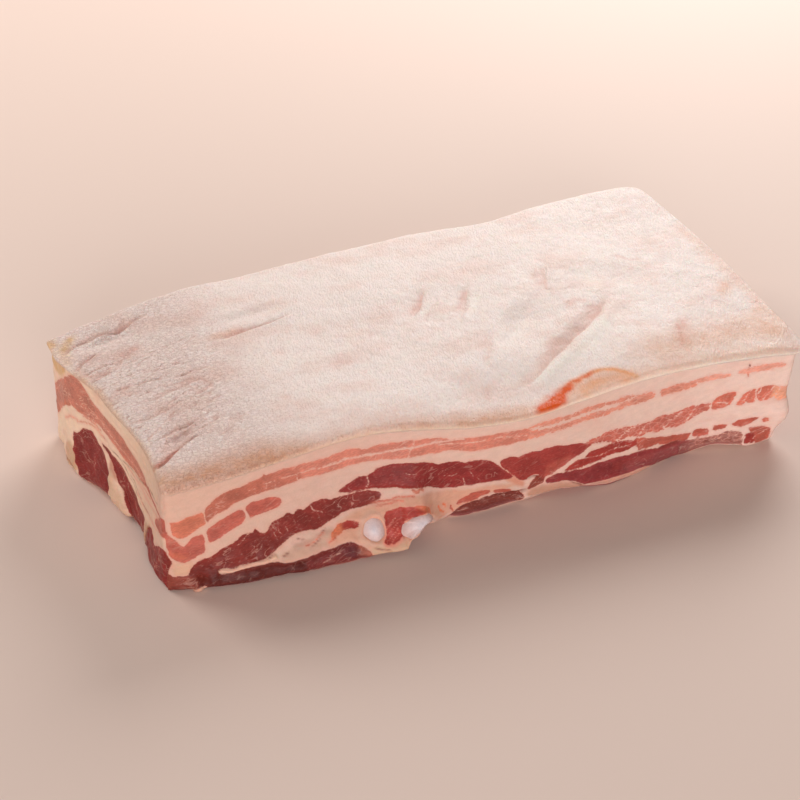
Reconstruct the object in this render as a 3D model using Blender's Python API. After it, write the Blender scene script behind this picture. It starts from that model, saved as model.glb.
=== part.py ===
"""A raw block of pork belly, skin side up, with two rib cartilages showing in its front cut.

Everything is measured in millimetres while the shape is worked out, and turned into metres at
the end. +X runs along the block, -Y is the long cut face with the cartilages, +Z is up. The
origin is the middle of the base.
"""

import bmesh
import bpy
import numpy as np
from mathutils import Matrix

MM = 0.001

# Overall sizes
HALF_LENGTH = 190.0     # half the nominal length, between the end cuts
HALF_WIDTH = 104.0      # half the nominal width, from the front cut to the back
MIDDLE_X = 8.0          # the nominal middle, in the drawing's own numbers
MIDDLE_Y = 15.0
EDGE_HEIGHT = 61.0      # height of the skin along the cut edges
CROWN = 3.5             # how much higher the middle of the skin lies

# Grid of the block: cells along the length, the width and the height
CELLS = (52, 28, 7)
RIM = 3.0               # width of the first row of cells along every edge

# Roundings, as radii
TOP_EDGE = 3.5
BACK_EDGE = 13.0
BASE_EDGE = 4.0
CORNERS = {(-1, -1): 6.0, (1, -1): 5.0, (1, 1): 30.0, (-1, 1): 9.0}   # (end, side): radius

# The skin's outline: how far each edge lies from the nominal box, outwards positive
FRONT_EDGE = ((-180, 1), (-150, -1), (-110, -6), (-60, -9), (-30, -4), (0, 2), (30, 4),
              (60, 1), (100, -3), (150, -3), (180, 0), (203, 2))
BACK_LINE = ((-190, -37), (-165, -27), (-130, -18), (-100, -11), (-60, -9), (0, -2), (50, 1),
             (100, -2), (125, 5), (150, 8), (199, 9))
LEFT_LINE = ((-90, -3), (-65, -6), (-27, -7), (13, -2), (43, 2), (70, 10), (85, 14))
RIGHT_LINE = ((-90, 5), (-60, 5), (0, 7), (60, 6), (120, 2))

# How far the foot of each cut stands out from the skin's edge above it
FRONT_FOOT = ((-180, 2), (-150, 12), (-110, 22), (-80, 26), (-60, 29), (-47, 29), (-36, 25),
              (-26, 12), (-16, 2), (0, 0), (30, -3), (65, 5), (100, 6), (140, -3), (170, 2), (199, -2))
LEFT_FOOT = ((-90, 1), (-65, 6), (-31, 3), (-8, 0), (15, 4), (36, 7), (60, 8), (100, 3))
RIGHT_FOOT = ((-90, -10), (-30, -8), (60, -6), (120, -8))
BACK_FOOT = ((-180, -12), (-60, -4), (60, -6), (199, -10))
FOOT_SHAPE = 1.5        # above 1, the face stays steep at the top and runs out at the foot

# How far the skin reaches past the fat below it at the ends, and how deep that lip is
LEFT_LIP = ((-90, 0), (30, 1), (70, 4), (85, 6))
RIGHT_LIP = ((-90, 9), (-60, 6), (0, 3), (120, 2))
LIP_DEPTH = 3.0

# Hollows under the rim of the base: (x, y, half length, half width, height)
ARCHES = ((-34, -108, 17, 30, 12.0), (48, -100, 36, 22, 7.0), (146, -98, 26, 26, 9.0),
          (-200, -8, 30, 38, 10.0), (206, 40, 26, 46, 7.0), (20, 130, 70, 24, 6.0))

# Swells and dips of the skin: (x, y, half length, half width, turn in degrees, height)
SWELLS = ((-60, -60, 70, 45, 0, 2.0), (20, -75, 60, 40, 0, -3.0), (110, -55, 70, 50, 15, 2.2),
          (-20, 60, 90, 60, 10, 2.0), (150, 70, 70, 60, 0, -2.0), (-160, 60, 60, 50, 0, -2.5),
          (60, -10, 42, 16, 45, -3.2), (84, -22, 38, 9, 42, 1.8), (20, 38, 18, 9, 55, -2.2),
          (44, 30, 20, 9, 68, -1.8), (-80, 56, 30, 9, 5, -1.8), (-155, -46, 22, 7, 38, -2.4),
          (-160, 68, 26, 8, 15, -2.2), (130, 20, 36, 20, -20, -1.6), (210, -95, 40, 30, 0, -3.5))

# Rib cartilages: (x, z, half width, half height, turn in degrees) of the end in the front cut
CARTILAGES = ((-66.5, 13.5, 5.6, 6.2, 4.0), (-41.0, 11.0, 9.6, 5.4, -4.0))
CARTILAGE_DEPTH = 12.0   # how far each one runs into the block
CARTILAGE_GAP = 0.3      # clearance between a cartilage and its socket
CARTILAGE_SIDES = 28
OUTSIDE = 30.0           # how far a cutting rod reaches out of the face

COLOURS = {"pork_belly": (0.80, 0.52, 0.42), "cartilage": (0.84, 0.78, 0.76)}


def through(points, at):
    """A smooth curve through (place, value) points, level beyond its ends."""
    places, values = np.array(points, float).T
    slopes = np.gradient(values, places)
    at = np.clip(at, places[0], places[-1])
    cell = np.clip(np.searchsorted(places, at) - 1, 0, len(places) - 2)
    span = places[cell + 1] - places[cell]
    t = (at - places[cell]) / span
    start = values[cell] * (1 + 2 * t) * (1 - t) ** 2 + slopes[cell] * span * t * (1 - t) ** 2
    end = values[cell + 1] * t**2 * (3 - 2 * t) - slopes[cell + 1] * span * t**2 * (1 - t)
    return start + end


def hill(x, y, centre_x, centre_y, half_length, half_width, turn=0.0):
    """A smooth hill of height 1 over an ellipse, turned about its middle."""
    angle = np.radians(turn)
    along = (x - centre_x) * np.cos(angle) + (y - centre_y) * np.sin(angle)
    across = (y - centre_y) * np.cos(angle) - (x - centre_x) * np.sin(angle)
    reach = np.clip(np.hypot(along / half_length, across / half_width), 0, 1)
    return 0.5 + 0.5 * np.cos(np.pi * reach)


def soften(first, second, radius):
    """Rounds a square edge: both are depths from the edge's two faces."""
    a = np.clip(radius - first, 0, None)
    b = np.clip(radius - second, 0, None)
    half = 2 * radius**2
    return (first + a * (1 - np.sqrt(1 - b**2 / half)),
            second + b * (1 - np.sqrt(1 - a**2 / half)))


def skin_height(x, y):
    inward = np.clip(1 - ((x - MIDDLE_X) / HALF_LENGTH) ** 4, 0, 1)
    inward = inward * np.clip(1 - ((y - MIDDLE_Y) / HALF_WIDTH) ** 4, 0, 1)
    height = EDGE_HEIGHT + CROWN * inward
    for swell in SWELLS:
        height = height + swell[5] * hill(x, y, *swell[:5])
    return height


def base_height(x, y):
    height = np.zeros_like(x)
    for *place, rise in ARCHES:
        height = np.maximum(height, rise * hill(x, y, *place))
    return height


def form(u, v, w):
    """Places points of the unit block (u, v from -1 to 1, w from 0 to 1) on the real one."""
    end = np.sign(u)
    side = np.sign(v)
    from_end = HALF_LENGTH * (1 - np.abs(u))
    from_side = HALF_WIDTH * (1 - np.abs(v))
    for (at_end, at_side), radius in CORNERS.items():
        here = (end == at_end) & (side == at_side)
        rounded = soften(from_end, from_side, radius)
        from_end = np.where(here, rounded[0], from_end)
        from_side = np.where(here, rounded[1], from_side)
    under = EDGE_HEIGHT * (1 - w)
    above = EDGE_HEIGHT * w
    from_end, under = soften(from_end, under, TOP_EDGE)
    from_end, above = soften(from_end, above, BASE_EDGE)
    back = side > 0
    rounded = soften(from_side, under, BACK_EDGE)
    crisp = soften(from_side, under, TOP_EDGE)
    from_side = np.where(back, rounded[0], crisp[0])
    under = np.where(back, rounded[1], crisp[1])
    from_side, above = soften(from_side, above, BASE_EDGE)
    rise = np.where(w > 0.5, 1 - under / EDGE_HEIGHT, above / EDGE_HEIGHT)

    x = MIDDLE_X + end * (HALF_LENGTH - from_end)
    y = MIDDLE_Y + side * (HALF_WIDTH - from_side)
    to_right = (x - MIDDLE_X) / (2 * HALF_LENGTH) + 0.5
    to_back = (y - MIDDLE_Y) / (2 * HALF_WIDTH) + 0.5
    foot = (1 - rise) ** FOOT_SHAPE
    lip = np.clip((1 - rise) * EDGE_HEIGHT / LIP_DEPTH, 0, 1)
    left = through(LEFT_LINE, y) + foot * through(LEFT_FOOT, y) - lip * through(LEFT_LIP, y)
    right = through(RIGHT_LINE, y) + foot * through(RIGHT_FOOT, y) - lip * through(RIGHT_LIP, y)
    front = through(FRONT_EDGE, x) + foot * through(FRONT_FOOT, x)
    rear = through(BACK_LINE, x) + foot * through(BACK_FOOT, x)
    real_x = x - left * (1 - to_right) + right * to_right
    real_y = y - front * (1 - to_back) + rear * to_back
    low = base_height(real_x, real_y)
    high = skin_height(real_x, real_y)
    return real_x, real_y, low + (high - low) * rise


def cell_lines(count, half):
    """Where the grid lines of one axis lie, from -1 to 1, with a narrow row along each edge."""
    inner = np.linspace(-1 + RIM / half, 1 - RIM / half, count - 1)
    return np.concatenate(([-1.0], inner, [1.0]))


def block_mesh():
    """A cube cut into the block's cells and pressed into its form."""
    bm = bmesh.new()
    bmesh.ops.create_cube(bm, size=2.0)
    for axis, count in enumerate(CELLS):
        along = [edge for edge in bm.edges
                 if abs(edge.verts[0].co[axis] - edge.verts[1].co[axis]) > 1e-6]
        bmesh.ops.subdivide_edges(bm, edges=along, cuts=count - 1, use_grid_fill=True)
    unit = np.array([vert.co for vert in bm.verts], float)
    halves = (HALF_LENGTH, HALF_WIDTH, EDGE_HEIGHT / 2)
    for axis, count in enumerate(CELLS):
        index = np.rint((unit[:, axis] + 1) * count / 2).astype(int)
        unit[:, axis] = cell_lines(count, halves[axis])[index]
    x, y, z = form(unit[:, 0], unit[:, 1], (unit[:, 2] + 1) / 2)
    for vert, place in zip(bm.verts, np.stack((x, y, z), axis=1)):
        vert.co = place
    bmesh.ops.triangulate(bm, faces=bm.faces[:])
    return bm


def front_at(x, z):
    """The y of the front cut at one place, found by running along the face."""
    heights = np.linspace(0, 1, 200)
    u = np.full_like(heights, (x - MIDDLE_X) / HALF_LENGTH)
    _, y, z_face = form(u, np.full_like(heights, -1.0), heights)
    return float(np.interp(z, z_face, y))


def oval_rod(x, z, half_width, half_height, turn, grow):
    """A closed oval rod across the front cut, from outside it to the cartilage's inner end."""
    length = CARTILAGE_DEPTH + grow + OUTSIDE
    middle = front_at(x, z) + CARTILAGE_DEPTH + grow - length / 2
    bm = bmesh.new()
    bmesh.ops.create_cone(bm, cap_ends=True, segments=CARTILAGE_SIDES, radius1=1.0, radius2=1.0,
                          depth=length)
    stretch = Matrix.Diagonal((half_width + grow, half_height + grow, 1.0, 1.0))
    lay = Matrix.Rotation(np.radians(90), 4, "X")
    roll = Matrix.Rotation(np.radians(turn), 4, "Y")
    place = Matrix.Translation((x, middle, z))
    bmesh.ops.transform(bm, matrix=place @ roll @ lay @ stretch, verts=bm.verts[:])
    return bm


def to_metres(bm, centre):
    shift = Matrix.Translation((-centre[0] * MM, -centre[1] * MM, -centre[2] * MM))
    bmesh.ops.transform(bm, matrix=shift @ Matrix.Scale(MM, 4), verts=bm.verts[:])


def make_object(name, bm, collection, material=None):
    mesh = bpy.data.meshes.new(name)
    bm.to_mesh(mesh)
    bm.free()
    obj = bpy.data.objects.new(name, mesh)
    collection.objects.link(obj)
    if material:
        mesh.materials.append(material)
    return obj


def make_material(name, colour, roughness):
    material = bpy.data.materials.new(name)
    material.use_nodes = True
    shader = material.node_tree.nodes["Principled BSDF"]
    shader.inputs["Base Color"].default_value = (*colour, 1.0)
    shader.inputs["Roughness"].default_value = roughness
    shader.inputs["Metallic"].default_value = 0.0
    return material


def make_collection(name):
    collection = bpy.data.collections.new(name)
    bpy.context.scene.collection.children.link(collection)
    return collection


def clear_scene():
    for obj in list(bpy.data.objects):
        bpy.data.objects.remove(obj, do_unlink=True)


def cut(obj, other, operation):
    """Cuts an object by another, or keeps only what both share."""
    modifier = obj.modifiers.new(other.name, "BOOLEAN")
    modifier.operation = operation
    modifier.solver = "EXACT"
    modifier.object = other


def make_cutter(name, bm, collection):
    cutter = make_object(name, bm, collection)
    cutter.hide_render = True
    cutter.display_type = "WIRE"
    return cutter


def main():
    clear_scene()
    belly_parts = make_collection("pork_belly_block")
    cutters = make_collection("cutters")
    cutters.hide_render = True

    block = block_mesh()
    places = np.array([vert.co for vert in block.verts])
    low, high = places.min(axis=0), places.max(axis=0)
    centre = ((low[0] + high[0]) / 2, (low[1] + high[1]) / 2, low[2])
    to_metres(block, centre)
    outer_form = make_cutter("outer_form", block.copy(), cutters)
    meat = make_material("pork_belly", COLOURS["pork_belly"], 0.45)
    belly = make_object("pork_belly", block, belly_parts, meat)
    belly.data.shade_smooth()
    belly.data.set_sharp_from_angle(angle=np.radians(50))

    white = make_material("cartilage", COLOURS["cartilage"], 0.3)
    for number, sizes in enumerate(CARTILAGES, start=1):
        rod = oval_rod(*sizes, grow=0.0)
        to_metres(rod, centre)
        end = make_object(f"rib_cartilage_{number}", rod, belly_parts, white)
        cut(end, outer_form, "INTERSECT")
        socket = oval_rod(*sizes, grow=CARTILAGE_GAP)
        to_metres(socket, centre)
        cut(belly, make_cutter(f"rib_socket_{number}", socket, cutters), "DIFFERENCE")


main()
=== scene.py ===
"""Looks of a raw block of pork belly: the rind, the cut meat and fat, and two rib cartilages.

Shapes are worked out in the block's drawing frame, in millimetres: +X runs along the block, -Y is
the long cut with the cartilages and +Z is up. set_down() then sets them in the row frame.
"""

import math

import bmesh
import bpy
import numpy as np
from mathutils import Euler, Matrix, Vector


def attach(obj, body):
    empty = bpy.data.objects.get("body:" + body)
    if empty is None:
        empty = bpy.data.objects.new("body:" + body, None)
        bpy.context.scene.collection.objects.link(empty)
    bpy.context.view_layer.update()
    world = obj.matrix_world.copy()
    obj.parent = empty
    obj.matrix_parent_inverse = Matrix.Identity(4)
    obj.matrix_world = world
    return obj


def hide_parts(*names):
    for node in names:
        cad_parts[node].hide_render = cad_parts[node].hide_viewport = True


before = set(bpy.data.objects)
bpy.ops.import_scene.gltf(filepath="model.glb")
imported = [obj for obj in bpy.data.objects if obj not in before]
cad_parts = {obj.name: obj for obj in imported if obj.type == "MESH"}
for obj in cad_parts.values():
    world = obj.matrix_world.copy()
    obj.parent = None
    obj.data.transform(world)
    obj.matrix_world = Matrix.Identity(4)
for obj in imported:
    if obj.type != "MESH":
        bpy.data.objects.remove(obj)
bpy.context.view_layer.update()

MM = 0.001
CENTRE = (4.12, 9.04)      # middle of the block's box, in the drawing frame

# ------------------------------------------------------------------ the block's own form
HALF_LENGTH = 190.0
HALF_WIDTH = 104.0
MIDDLE_X = 8.0
MIDDLE_Y = 15.0
EDGE_HEIGHT = 61.0                 # the skin's height at its edges
CROWN = 3.5                        # how much higher the skin's middle lies
TOP_EDGE = 3.5                     # radii of the long edges
BACK_EDGE = 13.0
BASE_EDGE = 4.0
CORNERS = {(-1, -1): 6.0, (1, -1): 5.0, (1, 1): 30.0, (-1, 1): 9.0}   # radii seen from above

# How far each side stands out of the plain block, as (place along it, distance)
FRONT_EDGE = ((-180, 1), (-150, -1), (-110, -6), (-60, -9), (-30, -4), (0, 2), (30, 4),
              (60, 1), (100, -3), (150, -3), (180, 0), (203, 2))
BACK_LINE = ((-190, -37), (-165, -27), (-130, -18), (-100, -11), (-60, -9), (0, -2), (50, 1),
             (100, -2), (125, 5), (150, 8), (199, 9))
LEFT_LINE = ((-90, -3), (-65, -6), (-27, -7), (13, -2), (43, 2), (70, 10), (85, 14))
RIGHT_LINE = ((-90, 5), (-60, 5), (0, 7), (60, 6), (120, 2))
# How far the foot of each side stands out beyond that
FRONT_FOOT = ((-180, 2), (-150, 12), (-110, 22), (-80, 26), (-60, 29), (-47, 29), (-36, 25),
              (-26, 12), (-16, 2), (0, 0), (30, -3), (65, 5), (100, 6), (140, -3), (170, 2), (199, -2))
LEFT_FOOT = ((-90, 1), (-65, 6), (-31, 3), (-8, 0), (15, 4), (36, 7), (60, 8), (100, 3))
RIGHT_FOOT = ((-90, -10), (-30, -8), (60, -6), (120, -8))
BACK_FOOT = ((-180, -12), (-60, -4), (60, -6), (199, -10))
FOOT_SHAPE = 1.5
# How far the skin's edge draws back at both ends, over the depth of the lip
LEFT_LIP = ((-90, 0), (30, 1), (70, 4), (85, 6))
RIGHT_LIP = ((-90, 9), (-60, 6), (0, 3), (120, 2))
LIP_DEPTH = 3.0
# Hollows under the block: middle, half length, half width and height
ARCHES = ((48, -100, 36, 22, 7.0), (146, -98, 26, 26, 9.0),
          (-200, -8, 30, 38, 10.0), (206, 40, 26, 46, 7.0), (20, 130, 70, 24, 6.0))
# The hollow under the front cut: height by place, round one line along the block
FRONT_ARCH_Y = -108
FRONT_ARCH_REACH = 30
FRONT_ARCH = ((-84, 0), (-74, 1.2), (-62, 2.4), (-52, 2.4), (-49.6, 2.8), (-48.4, 5.4), (-45, 8),
              (-41, 11.5), (-38, 13.3), (-35, 11), (-30, 7.5), (-25, 5), (-20, 3), (-14, 1), (-8, 0))
# Swells and dips of the skin: middle, half length, half width, turn and rise
SWELLS = ((-60, -60, 70, 45, 0, 2.0), (20, -75, 60, 40, 0, -3.0), (110, -55, 70, 50, 15, 2.2),
          (-20, 60, 90, 60, 10, 2.0), (150, 70, 70, 60, 0, -2.0), (-160, 60, 60, 50, 0, -2.5),
          (60, -10, 42, 16, 45, -3.2), (84, -22, 38, 9, 42, 1.8), (14, 30, 24, 12, 58, -1.0),
          (40, 22, 26, 12, 66, -0.9), (-80, 56, 30, 9, 5, -1.8), (-155, -46, 22, 7, 38, -2.4),
          (-160, 68, 26, 8, 15, -2.2), (130, 20, 36, 20, -20, -1.6), (210, -95, 40, 30, 0, -3.5))

# ------------------------------------------------------------------ how finely things are cut
RIND_CELLS = (400, 224)            # along and across the skin
WALL_COLUMNS = (540, 118, 270, 236)   # front, right, back, left
WALL_ROWS = 72
UNDERSIDE_CELLS = (135, 59)        # each cap's cells divide the columns they meet
MEAT_TOP_CELLS = (54, 59)
RIND_UNDERSIDE_CELLS = (50, 28)
RIND_EDGE_ROWS = 4
RIND = 2.0                         # thickness of the rind at its cut edges
CAP_INSET = 0.012                  # width of a cap's outer band, as a share of half the block
CLOSE = 1e-6                       # unit places this near lie level
WELD = 1e-5
ON_SIDE = 0.9999                   # unit places farther out than this lie on a side

# ------------------------------------------------------------------ what the cuts show
# Kinds of lean: colour, marbling, how broken up it is, and how far it stands out (mm)
LEAN = {
    "salmon": ((200, 116, 92), 0.1, 0.1, -0.2),
    "pale": ((200, 122, 103), 0.6, 0.25, -0.25),
    "pale_left": ((178, 102, 84), 0.45, 0.1, -0.25),
    "stripe": ((184, 96, 82), 0.25, 0.05, -0.2),
    "mottled": ((208, 128, 106), 0.4, 0.75, -0.15),
    "faint": ((222, 150, 130), 0.2, 0.6, -0.05),
    "rosy": ((192, 96, 80), 0.3, 0.7, -0.25),
    "chunk": ((204, 108, 88), 0.3, 0.3, -0.3),
    "glow": ((232, 156, 124), 0.4, 0.6, -0.2),
    "wine": ((140, 52, 49), 0.3, 0.05, -0.3),
    "wine_left": ((130, 50, 44), 0.45, 0.1, -0.4),
    "cherry": ((156, 62, 56), 0.2, 0.05, -0.35),
    "blood": ((156, 52, 46), 0.35, 0.3, -0.4),
    "brick": ((182, 88, 72), 0.35, 0.3, -0.3),
    # plum lean low in the cut: its colour is partly painted shade
    "dusk_in_shade": ((116, 46, 44), 0.3, 0.1, 0.3),
    "plum": ((138, 54, 54), 0.12, 0.05, 0.3),
    "purple": ((92, 42, 48), 0.05, 0.05, 0.2),
    # lean at the very foot of the cut: its colour is partly painted shade
    "dark_in_shade": ((96, 38, 34), 0.15, 0.1, 0.5),
    # lean set back under the front's lower edge, darkened as painted shade
    "shaded_recess": ((122, 52, 44), 0.7, 0.3, -2.6),
    # the underside of a flap low at the right: its colour is partly painted shade
    "mauve_in_shade": ((152, 86, 76), 0.7, 0.75, -0.8),
    "rust": ((204, 112, 80), 0.2, 0.2, -0.3),
    "flap": ((205, 124, 100), 0.2, 0.2, 0.3),
    "vein": ((204, 120, 100), 0.0, 0.1, -0.2),
    "blush": ((222, 156, 134), 0.0, 0.1, -0.1),
    "umber": ((142, 66, 54), 0.35, 0.15, 0.4),
    "haze": ((150, 80, 80), 0.5, 0.3, 0.2),
    "spot": ((92, 36, 28), 0.0, 0.0, 0.0),
    "trace": ((206, 124, 108), 0.0, 0.0, 0.0),
    "crimson": ((168, 66, 58), 0.3, 0.1, -0.7),
}

PLAIN_LEAN = ((180, 96, 82), 0.3, 0.2)   # the first three of these, before any patch
PLAIN_WEIGHT = 1e-3
LEAN_LEAST = -6.0                  # where it is all fat: farthest outside the lean, in mm
PATCH_MARGIN = 6                   # how far round a drawn patch, line or cleft it is felt, in mm
LINE_MARGIN = 3
CLEFT_MARGIN = 5
# Plain fat by x: deeper at the left, paler at the right
FAT_TINTS = ((-180, (214, 172, 152)), (-90, (216, 175, 158)), (60, (222, 186, 170)),
             (150, (232, 198, 184)), (200, (236, 203, 190)))

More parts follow.
